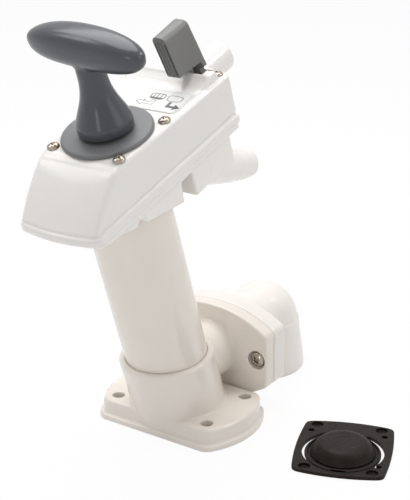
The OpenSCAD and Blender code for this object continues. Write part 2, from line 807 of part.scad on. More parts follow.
// A domed screw head with an upright edge and its cross recess, its seat at z = 0.
module cross_head(d, h) {
    rise = 0.7 * h;           // height of the dome above the edge
    dome_r = (d * d / 4 + rise * rise) / (2 * rise);
    difference() {
        intersection() {
            translate([0, 0, h - dome_r]) sphere(dome_r);
            cylinder(d = d, h = h);
        }
        for (turn = [0, 90])
            rotate(turn) translate([-d / 4, -d / 16, h - d / 7]) cube([d / 2, d / 8, d]);
    }
}

module cover_screws() color("silver")
    head_frame()
        for (p = cover_screw_places)
            translate([p.x, p.y, p.z]) {
                cross_head(screw_head_d, screw_head_h);
                translate([0, 0, -screw_len]) cylinder(d = screw_d, h = screw_len + 0.5);
            }

module label_plate() color("whitesmoke") {
    half = cover_half_front - cover_draft - 0.4;
    front = gland_d / 2 + 2.2;
    head_frame() translate([0, 0, cover_h]) linear_extrude(0.6)
        polygon([[-half + 2, front], [half - 2, front], [half, front + 6], [half, hump_v],
            [-half, hump_v], [-half, front + 6]]);
}

// ---------- Gland ----------

gland_cord = 1.2;

module gland() color("dimgray")
    head_frame() translate([0, 0, cover_h]) difference() {
        union() {
            rotate_extrude() polygon(concat([[0, 0], [gland_d / 2 - 0.8, 0], [gland_d / 2, 0.8]],
                arc([gland_d / 2 - 1.5, gland_t - 1.5], 1.5, 0, 90, 5), [[0, gland_t]]));
            translate([0, 0, -stem_len]) cylinder(d = stem_d, h = stem_len + 1);
        }
        translate([0, 0, -stem_len - 1]) cylinder(d = rod_d + 0.16, h = stem_len + gland_t + 2);
        translate([0, 0, -stem_len + 5]) cylinder(d = rod_seal_d + 2 * fit, h = rod_seal_h + 2 * fit);
        translate([0, 0, -8]) ring(stem_d / 2 + 1, stem_d / 2 - gland_cord, 2 * gland_cord + fit);
    }

module gland_oring() color("black")
    head_frame() translate([0, 0, cover_h - 8 + gland_cord]) o_ring(stem_d / 2, gland_cord);

rod_seal_d = rod_d + 10;
rod_seal_h = 5;

module rod_seal() color("black")
    head_frame() translate([0, 0, cover_h - stem_len + 5 + fit])
        ring(rod_seal_d / 2, rod_d / 2 + fit, rod_seal_h);

// ---------- Flush lever ----------

spindle_cord = 0.8;

// An outline with its points lowered in step with their place to the right.
function slanted(slope, points) = [for (p = points) [p.x, p.y - slope * p.x]];

module flush_lever() color("gray") {
    low = paddle_low;
    high = paddle_high;
    half = paddle_t / 2;
    slant = tan(lever_tilt);  // the paddle's top and bottom are level at rest
    top_r = 4.5;              // radius along the paddle's top edges
    foot_half = 3.5;          // the foot is thinner than the paddle
    foot_v = slot_v + 0.5;
    foot_end = slot_end - 0.5;
    tail_v = slot_v + 10;     // the paddle's back part reaches lower and is thicker
    tail_low = 15;
    tail_more = [0.8, 2.4];   // how much thicker each side is, above and below
    lever_frame(-lever_tilt) difference() {
        union() {
            translate([0, paddle_back, 0]) rotate([90, 0, 0]) linear_extrude(paddle_back - paddle_front)
                polygon(slanted(slant, concat([[half - 1, low], [half, low + 1]],
                    arc([half - top_r, high - top_r], top_r, 0, 90, 5),
                    arc([top_r - half, high - top_r], top_r, 90, 180, 5),
                    [[-half, low + 1], [1 - half, low]])));
            translate([0, paddle_back, 0]) rotate([90, 0, 0]) linear_extrude(paddle_back - tail_v)
                polygon([[half + tail_more[1], tail_low], [half + tail_more[0], high - top_r - 3],
                    [half - 1, high - top_r], [1 - half, high - top_r],
                    [-half - tail_more[0], high - top_r - 3], [-half - tail_more[1], tail_low]]);
            translate([-foot_half, foot_v, 0]) cube([2 * foot_half, foot_end - foot_v, low + 2]);
            translate([0, foot_v, 0]) along_y() cylinder(r = hub_r, h = foot_end - foot_v);
        }
        translate([0, foot_v - 1, 0]) along_y() cylinder(d = spindle_d + 2 * fit, h = big);
        for (x = [-1.9, 1.9])
            translate([x - 0.6, paddle_front - 1, low + 5]) cube([1.2, 1.8, high - low - 10]);
    }
}

cam_v = inlet_port.y - 5;
cam_len = 9;
cam_r = hub_r - 0.6;
flap_top = gasket_t + gap + flap_t;

// The shaft that carries the lever in the rear wall and the cam in the inlet chamber.
module lever_spindle() color("silver")
    lever_frame(-lever_tilt) translate([0, cam_v, 0]) along_y()
        cylinder(d = spindle_d, h = slot_end + 1.2 - cam_v);

module lever_cam() color("dimgray")
    lever_frame(0) difference() {
        union() {
            translate([0, cam_v, 0]) along_y() cylinder(r = cam_r, h = cam_len);
            translate([-finger_w / 2, cam_v, flap_top + 4.5 - pivot_h])
                cube([finger_w, finger_w, pivot_h - flap_top - 4.5]);
        }
        translate([0, cam_v - 1, 0]) along_y() cylinder(d = spindle_d + 2 * fit, h = cam_len + 2);
    }

module spindle_oring() color("black")
    head_frame() translate([pivot_x, bulkhead_v + 0.6 + spindle_cord + fit, pivot_h]) along_y()
        o_ring(spindle_d / 2 + spindle_cord, spindle_cord);

// ---------- Discharge ----------

joker_r = elbow_bore / 2 + 3;
joker_t = 3;
joker_len = 40;

// The rubber duckbill that lets waste out and nothing back.
module joker_valve() color("black")
    translate([0, plate_end, outlet_z]) along_y() {
        ring(joker_r, outlet_bore / 2, joker_t);
        difference() {
            hull() {
                translate([0, 0, joker_t - 1]) cylinder(d = outlet_bore + 6, h = 1, $fn = 48);
                translate([-outlet_bore / 2 - 2, -3, joker_len]) cube([outlet_bore + 4, 6, 1]);
            }
            hull() {
                translate([0, 0, joker_t - 3]) cylinder(d = outlet_bore, h = 2.5, $fn = 48);
                translate([-outlet_bore / 2, -0.5, joker_len]) cube([outlet_bore, 1, 3]);
            }
        }
    }

module discharge_elbow() color("white") {
    leg_r = leg_od / 2;
    bell_r = bell_od / 2;
    run = elbow_y - plate_end;
    difference() {
        union() {
            upright_plate(plate_end, elbow_plate_t);
            translate([0, plate_end + 1, outlet_z]) along_y() cylinder(d = elbow_od, h = run - 1);
            translate([0, elbow_y, outlet_z]) sphere(leg_r);
            translate([0, elbow_y, 0]) rotate_extrude() polygon(concat(
                [[0, 0]], arc([bell_r - bell_edge, bell_edge], bell_edge, -90, 0, 5),
                [[bell_r, bell_rim], [leg_r, bell_top], [leg_r, outlet_z], [0, outlet_z]]));
        }
        translate([0, plate_end - 1, outlet_z]) along_y() cylinder(d = elbow_bore, h = run + 1);
        translate([0, elbow_y, outlet_z]) sphere(d = elbow_bore);
        translate([0, elbow_y, -1]) cylinder(d = elbow_bore, h = outlet_z + 1);
        translate([0, elbow_y, -1]) cylinder(d = socket_d, h = socket_depth + 1);
        translate([0, plate_end - 1, outlet_z]) along_y() cylinder(r = joker_r + fit, h = joker_t + 1);
        for (sx = [-1, 1])
            translate([sx * clamp_dx / 2, plate_end - 1, outlet_z]) along_y()
                cylinder(d = clamp_d + 2 * fit, h = elbow_plate_t - 2);
    }
}

module discharge_screws() color("silver") {
    head_h = 4.2;
    for (sx = [-1, 1])
        translate([sx * clamp_dx / 2, plate_y + clamp_sink, outlet_z]) {
            rotate([90, 0, 0]) cross_head(clamp_recess_d - 2, head_h);
            along_y() translate([0, 0, -1])
                cylinder(d = clamp_d, h = plate_t + elbow_plate_t - clamp_sink - 3);
        }
}

// ---------- Suction valve gasket, lifted out ----------

flap_y = -5.2;                // the flap stands off the gasket's middle, away from its hinge
hinge_y = 21.4;               // the line where the flap bends
tongue_half = 15;             // half width of the rubber left there

module loose_frame()
    translate([loose_x, loose_y, 0]) rotate(loose_turn) children();

// The gasket's outline: four bowed sides with small round corners.
module rubber_outline() {
    corner = [rubber_half_w - 2.5, rubber_half_d - 4];
    bow_w = (pow(corner.y, 2) + pow(2.5, 2)) / 5;
    bow_d = (pow(corner.x, 2) + pow(4, 2)) / 8;
    intersection() {
        translate([rubber_half_w - bow_w, 0]) circle(bow_w, $fn = 180);
        translate([bow_w - rubber_half_w, 0]) circle(bow_w, $fn = 180);
        translate([0, rubber_half_d - bow_d]) circle(bow_d, $fn = 180);
        translate([0, bow_d - rubber_half_d]) circle(bow_d, $fn = 180);
        circle(norm(corner) - 1);
    }
}

module suction_gasket() color("black")
    loose_frame() difference() {
        linear_extrude(rubber_t) rubber_outline();
        translate([0, 0, -1]) linear_extrude(rubber_t + 2) {
            intersection() {
                translate([0, flap_y]) circle(flap_r + flap_slot);
                translate([-big / 2, hinge_y - big]) square(big);
            }
            for (sx = [-1, 1], sy = [-1, 1])
                translate([sx * rubber_dx / 2, sy * rubber_dy / 2]) circle(d = rubber_hole);
            for (p = [[-1, 1], [1, 1], [1, -1]])
                translate([p.x * (rubber_dx / 2 + 3.5), p.y * (rubber_dy / 2 - 10)]) circle(1.6);
        }
    }

module suction_flap() color("black")
    loose_frame() difference() {
        union() {
            linear_extrude(rubber_t) intersection() {
                union() {
                    translate([0, flap_y]) circle(flap_r);
                    translate([-tongue_half, 0]) square([2 * tongue_half, hinge_y]);
                }
                translate([-big / 2, hinge_y - gap - big]) square(big);
                translate([0, flap_y]) circle(flap_r + flap_slot - 0.6);
            }
            translate([0, flap_y, rubber_t]) rotate_extrude() polygon(concat(
                [[0, -1], [boss_r, -1], [boss_r, 0]],
                arc([boss_top_r - 1.5, boss_h - 2], 2, 20, 90, 5), [[0, boss_h]]));
        }
        translate([0, flap_y, rubber_t]) cylinder(r = weight_r + fit, h = weight_t + 2 * fit);
    }

weight_r = boss_top_r - 4;
weight_t = boss_h - 4;

// The metal disc moulded into the flap's boss, which shuts it.
module flap_weight() color("silver")
    loose_frame() translate([0, flap_y, rubber_t + fit]) cylinder(r = weight_r, h = weight_t);

base();
cylinder_tube();
tube_seal();
piston();
piston_seal();
piston_nut();
piston_rod();
handle();
valve_body();
head_seal();
top_valve_gasket();
inlet_flap();
outlet_flap();
top_cover();
cover_screws();
label_plate();
gland();
gland_oring();
rod_seal();
flush_lever();
lever_spindle();
lever_cam();
spindle_oring();
joker_valve();
discharge_elbow();
discharge_screws();
suction_gasket();
suction_flap();
flap_weight();
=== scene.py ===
import math

import bpy
import numpy as np
from mathutils import Matrix, Vector


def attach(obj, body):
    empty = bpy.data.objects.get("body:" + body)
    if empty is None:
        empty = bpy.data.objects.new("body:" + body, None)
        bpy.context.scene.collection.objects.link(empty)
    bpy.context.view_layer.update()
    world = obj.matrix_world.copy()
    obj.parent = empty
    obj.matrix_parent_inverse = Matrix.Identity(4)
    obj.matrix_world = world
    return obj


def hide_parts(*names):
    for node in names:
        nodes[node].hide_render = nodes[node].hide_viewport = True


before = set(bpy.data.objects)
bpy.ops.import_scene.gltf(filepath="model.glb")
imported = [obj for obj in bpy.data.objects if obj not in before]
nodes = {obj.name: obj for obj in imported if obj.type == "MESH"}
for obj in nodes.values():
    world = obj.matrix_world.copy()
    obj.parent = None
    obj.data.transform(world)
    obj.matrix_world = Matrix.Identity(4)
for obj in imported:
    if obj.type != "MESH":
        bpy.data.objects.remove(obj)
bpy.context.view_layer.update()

# ---------------------------------------------------------------- the foot
# The foot is one injection moulding in white plastic: a flange with four bolt holes, the
# leaning collar that takes the tube, and the outlet neck with its arched plate. It is bolted
# to the floor of the boat, and its outer edges are all a little soft from the mould.


def cut(a, b, r):
    """What lies inside both, with the outer edge between them rounded to r."""
    return np.minimum(np.maximum(a, b), -r) + np.hypot(np.maximum(a + r, 0), np.maximum(b + r, 0))


def join(a, b, r):
    """What lies inside either, with the inner corner between them filled to r."""
    return -cut(-a, -b, r)


def between(t, low, high):
    """How far t lies outside the stretch from low to high."""
    return np.abs(t - (low + high) / 2) - (high - low) / 2


def moulded(name, solid, low, high, step, place=None):
    """The skin of a moulding: solid(x, y, z) is below zero inside it, in millimetres."""
    axes = [np.arange(a - 1.5 * step, b + 2.5 * step, step) for a, b in zip(low, high)]
    shape = [len(a) for a in axes]
    depth = np.broadcast_to(solid(*np.meshgrid(*axes, indexing="ij", sparse=True)), shape)
    inside = depth < 0
    n = [s - 1 for s in shape]
    corners = [(i, j, k) for i in (0, 1) for j in (0, 1) for k in (0, 1)]
    filled = sum(inside[i : i + n[0], j : j + n[1], k : k + n[2]].astype(np.int8) for i, j, k in corners)
    cells = np.argwhere((filled > 0) & (filled < 8))
    number = np.full(n, -1, np.int32)
    number[tuple(cells.T)] = np.arange(len(cells))
    total = np.zeros((len(cells), 3))
    hits = np.zeros(len(cells))
    for axis in range(3):
        along = np.eye(3, dtype=int)[axis]
        for corner in corners:
            if corner[axis]:
                continue
            a = depth[tuple((cells + corner).T)]
            b = depth[tuple((cells + corner + along).T)]
            crossed = (a < 0) != (b < 0)
            share = np.where(crossed, a / np.where(crossed, a - b, 1), 0)
            total += crossed[:, None] * (np.array(corner) + share[:, None] * along)
            hits += crossed
    point = (cells + total / hits[:, None]) * step + np.array([a[0] for a in axes])
    small = 0.02
    for _ in range(3):
        slope = np.stack(
            [(solid(*(point + e).T) - solid(*(point - e).T)) / (2 * small) for e in np.eye(3) * small], 1
        )
        move = (solid(*point.T) / np.maximum((slope**2).sum(1), 0.2))[:, None] * slope
        reach = np.linalg.norm(move, axis=1)[:, None]
        point -= move * np.minimum(1, 0.6 * step / np.maximum(reach, 1e-9))
    faces = []
    for axis in range(3):
        u, v = np.eye(3, dtype=int)[[(axis + 1) % 3, (axis + 2) % 3]]
        first = [slice(1, -1)] * 3
        first[axis] = slice(0, -1)
        second = list(first)
        second[axis] = slice(1, None)
        start, end = inside[tuple(first)], inside[tuple(second)]
        offset = np.array([0 if i == axis else 1 for i in range(3)])
        for leaving in (True, False):
            edge = np.argwhere((start & ~end) if leaving else (~start & end)) + offset
            ring = [edge - u - v, edge - v, edge, edge - u]
            quad = np.stack([number[tuple(c.T)] for c in ring], 1)
            faces.append(quad if leaving else quad[:, ::-1])
    return meshed(name, point, np.concatenate(faces), place)


def placed(name, data):
    """A new object in the scene."""
    made = bpy.data.objects.new(name, data)
    bpy.context.scene.collection.objects.link(made)
    return made


def meshed(name, point, faces, place=None):
    """An object from points in millimetres and its faces, set down where place puts it."""
    mesh = bpy.data.meshes.new(name)
    mesh.from_pydata((np.asarray(point, float) / 1000).tolist(), [], [list(map(int, f)) for f in faces])
    if place is not None:
        mesh.transform(place)
    mesh.polygons.foreach_set("use_smooth", [True] * len(mesh.polygons))
    mesh.update()
    return placed(name, mesh)


def moulding_skin():
    """What every moulded face shares: faint flow mottle, a fine grain and a slow wave."""
    group = bpy.data.node_groups.new("moulding skin", "ShaderNodeTree")
    face = group.interface
    for name, kind, value in (
        ("Colour", "NodeSocketColor", (0.8, 0.8, 0.8, 1)),
        ("Shaded", "NodeSocketColor", (0.7, 0.7, 0.7, 1)),
        ("Mottle size", "NodeSocketFloat", 60.0),
        ("Grain size", "NodeSocketFloat", 900.0),
        ("Grain", "NodeSocketFloat", 0.1),
        ("Gloss low", "NodeSocketFloat", 0.2),
        ("Gloss high", "NodeSocketFloat", 0.3),
    ):
        face.new_socket(name, in_out="INPUT", socket_type=kind).default_value = value
    face.new_socket("Colour", in_out="OUTPUT", socket_type="NodeSocketColor")
    face.new_socket("Roughness", in_out="OUTPUT", socket_type="NodeSocketFloat")
    face.new_socket("Normal", in_out="OUTPUT", socket_type="NodeSocketVector")
    new, link = group.nodes.new, group.links.new
    given, out = new("NodeGroupInput"), new("NodeGroupOutput")
    where = new("ShaderNodeTexCoord")
    mottle, grain, wave, scuff = (new("ShaderNodeTexNoise") for _ in range(4))
    for noise, detail in ((mottle, 2), (grain, 1), (wave, 0), (scuff, 2)):
        noise.inputs["Detail"].default_value = detail
        link(where.outputs["Object"], noise.inputs["Vector"])
    link(given.outputs["Mottle size"], mottle.inputs["Scale"])
    link(given.outputs["Grain size"], grain.inputs["Scale"])
    wave.inputs["Scale"].default_value = 28
    scuff.inputs["Scale"].default_value = 420
    stretch = new("ShaderNodeMapRange")
    stretch.inputs["From Min"].default_value = 0.35
    stretch.inputs["From Max"].default_value = 0.68
    link(mottle.outputs["Fac"], stretch.inputs["Value"])
    colour = new("ShaderNodeMix")
    colour.data_type = "RGBA"
    link(stretch.outputs["Result"], colour.inputs["Factor"])
    link(given.outputs["Colour"], colour.inputs["A"])
    link(given.outputs["Shaded"], colour.inputs["B"])
    link(colour.outputs["Result"], out.inputs["Colour"])
    gloss = new("ShaderNodeMapRange")
    gloss.inputs["From Min"].default_value = 0.3
    gloss.inputs["From Max"].default_value = 0.7
    link(scuff.outputs["Fac"], gloss.inputs["Value"])
    link(given.outputs["Gloss low"], gloss.inputs["To Min"])
    link(given.outputs["Gloss high"], gloss.inputs["To Max"])
    link(gloss.outputs["Result"], out.inputs["Roughness"])
    slow, fine = new("ShaderNodeBump"), new("ShaderNodeBump")
    slow.inputs["Distance"].default_value = 0.002
    fine.inputs["Distance"].default_value = 0.0002
    slow.inputs["Strength"].default_value = 0.006
    link(wave.outputs["Fac"], slow.inputs["Height"])
    link(given.outputs["Grain"], fine.inputs["Strength"])
    link(grain.outputs["Fac"], fine.inputs["Height"])
    link(slow.outputs["Normal"], fine.inputs["Normal"])
    link(fine.outputs["Normal"], out.inputs["Normal"])
    return group


skin_group = moulding_skin()


def plastic(name, colour, shaded, gloss=(0.13, 0.18), mottle=22, grain=(1400, 0.01), **shader):
    """A moulded plastic or rubber finish, from its colour, its mottle and its gloss."""
    made = bpy.data.materials.new(name)
    made.use_nodes = True
    tree = made.node_tree
    principled = tree.nodes["Principled BSDF"]
    skin = tree.nodes.new("ShaderNodeGroup")
    skin.node_tree = skin_group
    skin.inputs["Colour"].default_value = (*colour, 1)
    skin.inputs["Shaded"].default_value = (*shaded, 1)
    skin.inputs["Mottle size"].default_value = mottle
    skin.inputs["Grain size"].default_value = grain[0]
    skin.inputs["Grain"].default_value = grain[1]
    skin.inputs["Gloss low"].default_value = gloss[0]
    skin.inputs["Gloss high"].default_value = gloss[1]
    tree.links.new(skin.outputs["Colour"], principled.inputs["Base Color"])
    tree.links.new(skin.outputs["Roughness"], principled.inputs["Roughness"])
    tree.links.new(skin.outputs["Normal"], principled.inputs["Normal"])
    for socket, value in shader.items():
        principled.inputs[socket.replace("_", " ")].default_value = value
    made.diffuse_color = (*colour, 1)
    return made


def fitted(piece, body, slot, material, *replaced):
    """Finishes a piece: its material, the body it rides and the nodes it stands for. The slot is not used."""
    piece.data.materials.clear()
    piece.data.materials.append(material)
    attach(piece, body)
    if replaced:
        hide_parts(*replaced)


foot_white = plastic("foot plastic", (0.79, 0.735, 0.675), (0.775, 0.72, 0.66))

BASE_T, LEDGE_T, UPPER_INSET = 17.5, 5.0, 3.2
FOOT_R, FOOT_HALF = 67.1, 42.4
BOLT_X, BOLT_Y, BOLT_R = 43.5, 27.5, 5.0
WELL_R, WELL_TOP = 31.0, 20.5
AXIS_Y = -4.8
COLLAR_R, TUBE_R, BORE_R = 37.5, 32.5, 28.5
FIT = 0.1
SEAT_W, MOUTH_W, BORE_LOW_W = 36.0, 50.0, -7.0
OUTLET_Z, OUTLET_R, NECK_R = 44.5, 15.0, 24.5
WEB_HALF = 11.0
PLATE_Y, JOINT_Y = 41.0, 53.5
PLATE_HALF, ARCH_R, ARCH_DROP = 55.0, 98.0, 58.5
CLAMP_X, CLAMP_R, CLAMP_HEAD_R, CLAMP_SEAT = 45.4, 3.3, 8.0, 4.0
LEAN, MOUTH_TILT = math.radians(18), math.radians(11)
SIN, COS = math.sin(LEAN), math.cos(LEAN)


def to_tube(y, z):
    """From the foot's upright frame to the tube's: front to back, and up along the tube."""
    behind, above = y - AXIS_Y, z - BASE_T
    return behind * COS + above * SIN, above * COS - behind * SIN


def foot_outline(x, y, inset):
    """A disc with two flats, seen from above."""
    return cut(np.hypot(x, y) - FOOT_R + inset, np.abs(y) - FOOT_HALF + inset, 4.5)


def plate_outline(x, z):
    """The arched plate that both halves of the outlet share."""
    up = z - OUTLET_Z
    arched = cut(np.hypot(x, up + ARCH_DROP) - ARCH_R, np.hypot(x, up - ARCH_DROP) - ARCH_R, 2)
    return cut(np.abs(x) - PLATE_HALF, arched, 2.5)


def foot(x, y, z):
    v, w = to_tube(y, z)
    from_axis, from_outlet = np.hypot(x, v), np.hypot(x, z - OUTLET_Z)
    mouth = v * math.sin(MOUTH_TILT) + (w - MOUTH_W) * math.cos(MOUTH_TILT)
    ledge = cut(foot_outline(x, y, 0), z - LEDGE_T, 1.8)
    upper = cut(foot_outline(x, y, UPPER_INSET), z - BASE_T, 3.0)
    flange = join(ledge, upper, 1.2)
    collar = cut(from_axis - COLLAR_R, mouth, 3.0)
    body = join(flange, np.maximum(collar, -z), 2.0)
    plate = cut(plate_outline(x, z), between(y, PLATE_Y, JOINT_Y), 1.6)
    neck = np.maximum(from_outlet - NECK_R, between(y, 0, PLATE_Y + 4))
    web = np.maximum(np.abs(x) - WEB_HALF, between(z, 0, OUTLET_Z))
    web = np.maximum(web, between(y, 0, JOINT_Y - 2))
    body = join(body, join(join(neck, web, 2.0), plate, 2.5), 2.0)
    body = cut(body, -z, 0.8)
    body = np.maximum(body, -cut(np.hypot(x, y) - WELL_R, z - WELL_TOP, 0.5))
    body = np.maximum(body, -np.maximum(from_axis - BORE_R, BORE_LOW_W - w))
    socket = np.maximum(from_axis - TUBE_R - FIT, SEAT_W - w)
    body = cut(body, -socket, 0.4)
    body = np.maximum(body, -np.maximum(from_outlet - OUTLET_R, -y))
    bolt = np.hypot(np.abs(x) - BOLT_X, np.abs(y) - BOLT_Y) - BOLT_R
    body = cut(body, -bolt, 0.9)
    clamp = np.hypot(np.abs(x) - CLAMP_X, z - OUTLET_Z)
    head_room = np.maximum(clamp - CLAMP_HEAD_R, y - PLATE_Y - CLAMP_SEAT)
    recess = np.minimum(head_room, np.maximum(clamp - CLAMP_R, y - JOINT_Y - 6.5))
    return cut(body, -np.maximum(recess, PLATE_Y - 11 - y), 0.5)


foot_piece = moulded("foot_moulding", foot, (-67.5, -66, 0), (67.5, 53.5, 84.5), 0.93)
fitted(foot_piece, "pump", "foot_white", foot_white, "base")

# ---------------------------------------------------------------- the pump tube
# The barrel is a length of glossy extruded pipe. It stands in the collar on a rubber ring. The
# piston's cup runs in its bore, so the bore is smooth and the ends are only broken at the edge.
tube_white = plastic("tube plastic", (0.79, 0.735, 0.67), (0.775, 0.72, 0.655), gloss=(0.12, 0.16), mottle=14)
seal_rubber = plastic(
    "seal rubber", (0.02, 0.02, 0.021), (0.03, 0.029, 0.028), gloss=(0.5, 0.7), grain=(1500, 0.2)
)

DECK = 213.0
TUBE_END, TUBE_EDGE = 205.0, 0.8
UPRIGHT = Matrix.Translation((0, AXIS_Y / 1000, BASE_T / 1000)) @ Matrix.Rotation(LEAN, 4, "X")
ON_DECK = UPRIGHT @ Matrix.Translation((0, 0, DECK / 1000))


def turned(name, outline, place, steps=120):
    """A piece turned about its own axis from a closed outline of (radius, height)."""
    turns = np.arange(steps) * 2 * math.pi / steps
    r, h = np.array(outline, float).T
    point = np.stack([np.outer(np.cos(turns), r), np.outer(np.sin(turns), r), np.tile(h, (steps, 1))], -1)
    count = len(r)
    faces = []
    for i in range(steps):
        for k in range(count):
            a, b = i * count, (i + 1) % steps * count
            faces.append((a + k, b + k, b + (k + 1) % count, a + (k + 1) % count))
    return meshed(name, point.reshape(-1, 3), faces, place)


def eased(corner, r, start, end, steps):
    """Points round a corner of radius r, from one heading to another, in degrees."""
    turn = np.radians(np.linspace(start, end, steps + 1))
    return [(corner[0] + r * math.cos(t), corner[1] + r * math.sin(t)) for t in turn]


def crease(piece):
    """Keeps the edges sharper than 35 degrees crisp on a smooth piece."""
    piece.data.set_sharp_from_angle(angle=math.radians(35))
    return piece


tube_in, tube_out = BORE_R + TUBE_EDGE, TUBE_R - TUBE_EDGE
tube_low, tube_high = SEAT_W + TUBE_EDGE, TUBE_END - TUBE_EDGE
tube_outline = (
    eased((tube_out, tube_low), TUBE_EDGE, -90, 0, 3)
    + [(TUBE_R, h) for h in np.linspace(50, 190, 6)]
    + eased((tube_out, tube_high), TUBE_EDGE, 0, 90, 3)
    + eased((tube_in, tube_high), TUBE_EDGE, 90, 180, 3)
    + eased((tube_in, tube_low), TUBE_EDGE, 180, 270, 3)
)
tube = crease(turned("pump_tube", tube_outline, UPRIGHT, 160))
fitted(tube, "pump", "tube_white", tube_white, "cylinder_tube")

# ---------------------------------------------------------------- the pump head
# The head is a white moulding that closes the tube's top: a flat flange, a stepped block with
# the inlet and return chambers, and the inlet hose tail. Screws hold it under the cover.
head_white = plastic("head plastic", (0.85, 0.83, 0.80), (0.84, 0.82, 0.79))

COVER_FRONT, COVER_REAR = 72.0, 98.5
FRONT_HALF, REAR_MORE = 34.8, 6.8
TAPER_COS = 0.9992
BOW = 4.0


def cover_half(v):
    """Half width of the head and its cover at a place front to back."""
    return FRONT_HALF + REAR_MORE * (v + COVER_FRONT) / (COVER_REAR + COVER_FRONT)


def bowed(x):
    """How far the front stands ahead of its corners at x."""
    return BOW * (1 - np.minimum(np.abs(x) / FRONT_HALF, 1.2) ** 2)


def head_plan(x, v, inset=0.0):
    """The outline of the head and its cover, seen from above."""
    sides = (np.abs(x) - cover_half(v)) * TAPER_COS + inset
    front = -(v + COVER_FRONT + bowed(x)) + inset
    return cut(cut(sides, front, max(5 - inset, 1.5)), v - COVER_REAR + inset, max(4.5 - inset, 1))


def within(corners, a, b):
    """Signed distance to a closed outline of straight sides."""
    nearest = 1e9
    inside = False
    for i, (ax, ay) in enumerate(corners):
        bx, by = corners[i - 1]
        ex, ey = bx - ax, by - ay
        wx, wy = a - ax, b - ay
        share = np.clip((wx * ex + wy * ey) / (ex * ex + ey * ey), 0, 1)
        nearest = np.minimum(nearest, (wx - ex * share) ** 2 + (wy - ey * share) ** 2)
        crosses = (ay > b) != (by > b)
        inside = inside ^ (crosses & (a < ex * (b - ay) / (ey if ey else 1e-9) + ax))
    return np.where(inside, -1, 1) * np.sqrt(nearest)


BLOCK_SIDE = [
    (-59, -4), (-59, -1), (90.5, -1), (90.5, -33), (39.5, -31.5), (38, -10), (25, -10), (23, -26),
    (-19.5, -14.8), (-20.5, -8.2), (-28, -8.5), (-30.7, -12),
]
BLOCK_HALF, BLOCK_LOW, BLOCK_V = 35.5, -33.0, 28.0
FRONT_LIP = ([-73, -61], [-1.2, -5])
STEM_HOLE_R = 16.0
INLET_AT, INLET_FALL = (22.0, 60.0, -22.4), (0.8660, 0.5)
TAIL_R, TAIL_BORE, TAIL_STEP = 12.75, 9.5, 1.0
INLET_LONG, INLET_STEP_AT, INLET_BORE_FROM = 69.0, 43.0, 8.0
CHAMBER = ((2, 31.5), (42, 86.5), (-26, -6))
PORTS, PORT_R, PORT_H = [(21, 65.5), (-18, 51), (-18, 76)], 7.5, (-11, 2)
FRONT_SCREW, SIDE_SCREW, REAR_SCREW = (29.4, -26.2, 40.8), (31.2, 26.5, 40.8), (32.4, 93.3, 39.8)
SCREWS = [(s * x, v, h) for s in (-1, 1) for x, v, h in (FRONT_SCREW, SIDE_SCREW, REAR_SCREW)]
SCREW_HOLE_R, SCREW_HOLE_H = 2.6, (-4.5, 2)


def head(x, v, h):
    under = np.interp(v, *FRONT_LIP)
    flange = cut(head_plan(x, v), np.maximum(np.maximum(h, under - h), FRONT_LIP[0][0] - v), 0.6)
    lower = np.abs(x) - BLOCK_HALF
    lower = np.where(v > BLOCK_V, cut(lower, BLOCK_LOW - h, 4.5), lower)
    block = cut(within(BLOCK_SIDE, v, h), lower, 1.2)
    block = cut(block, head_plan(x, v, 1.3), 2)
    inlet_x, inlet_v, inlet_h = INLET_AT
    dv, dh = v - inlet_v, h - inlet_h
    along = dv * INLET_FALL[0] - dh * INLET_FALL[1]
    across = np.hypot(x - inlet_x, dv * INLET_FALL[1] + dh * INLET_FALL[0])
    tail = cut(across - TAIL_R, between(along, 0, INLET_LONG), 1.6)
    tail = join(tail, cut(across - TAIL_R - TAIL_STEP, between(along, 0, INLET_STEP_AT), 0.5), 0.4)
    body = join(join(flange, np.maximum(block, h), 1.0), tail, 2.0)
    centre = np.hypot(x, v)
    body = cut(body, -np.maximum(centre - TUBE_R - FIT, h + DECK - TUBE_END), 0.6)
    body = np.maximum(body, -np.maximum(centre - STEM_HOLE_R, h - 5))
    wide, long, tall = CHAMBER
    chamber = np.maximum(between(np.abs(x), *wide), np.maximum(between(v, *long), between(h, *tall)))
    body = np.maximum(body, -chamber)
    body = cut(body, -np.maximum(across - TAIL_BORE, INLET_BORE_FROM - along), 0.8)
    for px, pv in PORTS:
        body = np.maximum(body, -np.maximum(np.hypot(x - px, v - pv) - PORT_R, between(h, *PORT_H)))
    for px, pv, _ in SCREWS:
        away = np.hypot(x - px, v - pv)
        body = np.maximum(body, -np.maximum(away - SCREW_HOLE_R, between(h, *SCREW_HOLE_H)))
    return body


head_piece = moulded("head_moulding", head, (-43, -77.5, -60), (43, 128, 0), 1.0, ON_DECK)
fitted(head_piece, "pump", "head_white", head_white, "valve_body")

# ---------------------------------------------------------------- the cover
# The cover is the big white moulding on top: a sloping bowed front, a rolled rim all round,
# a raised housing for the lever at the back and the flush outlet's hose tail behind it. Six
# screws hold it down on the head.
cover_white = plastic("cover plastic", (0.82, 0.802, 0.775), (0.81, 0.792, 0.765))

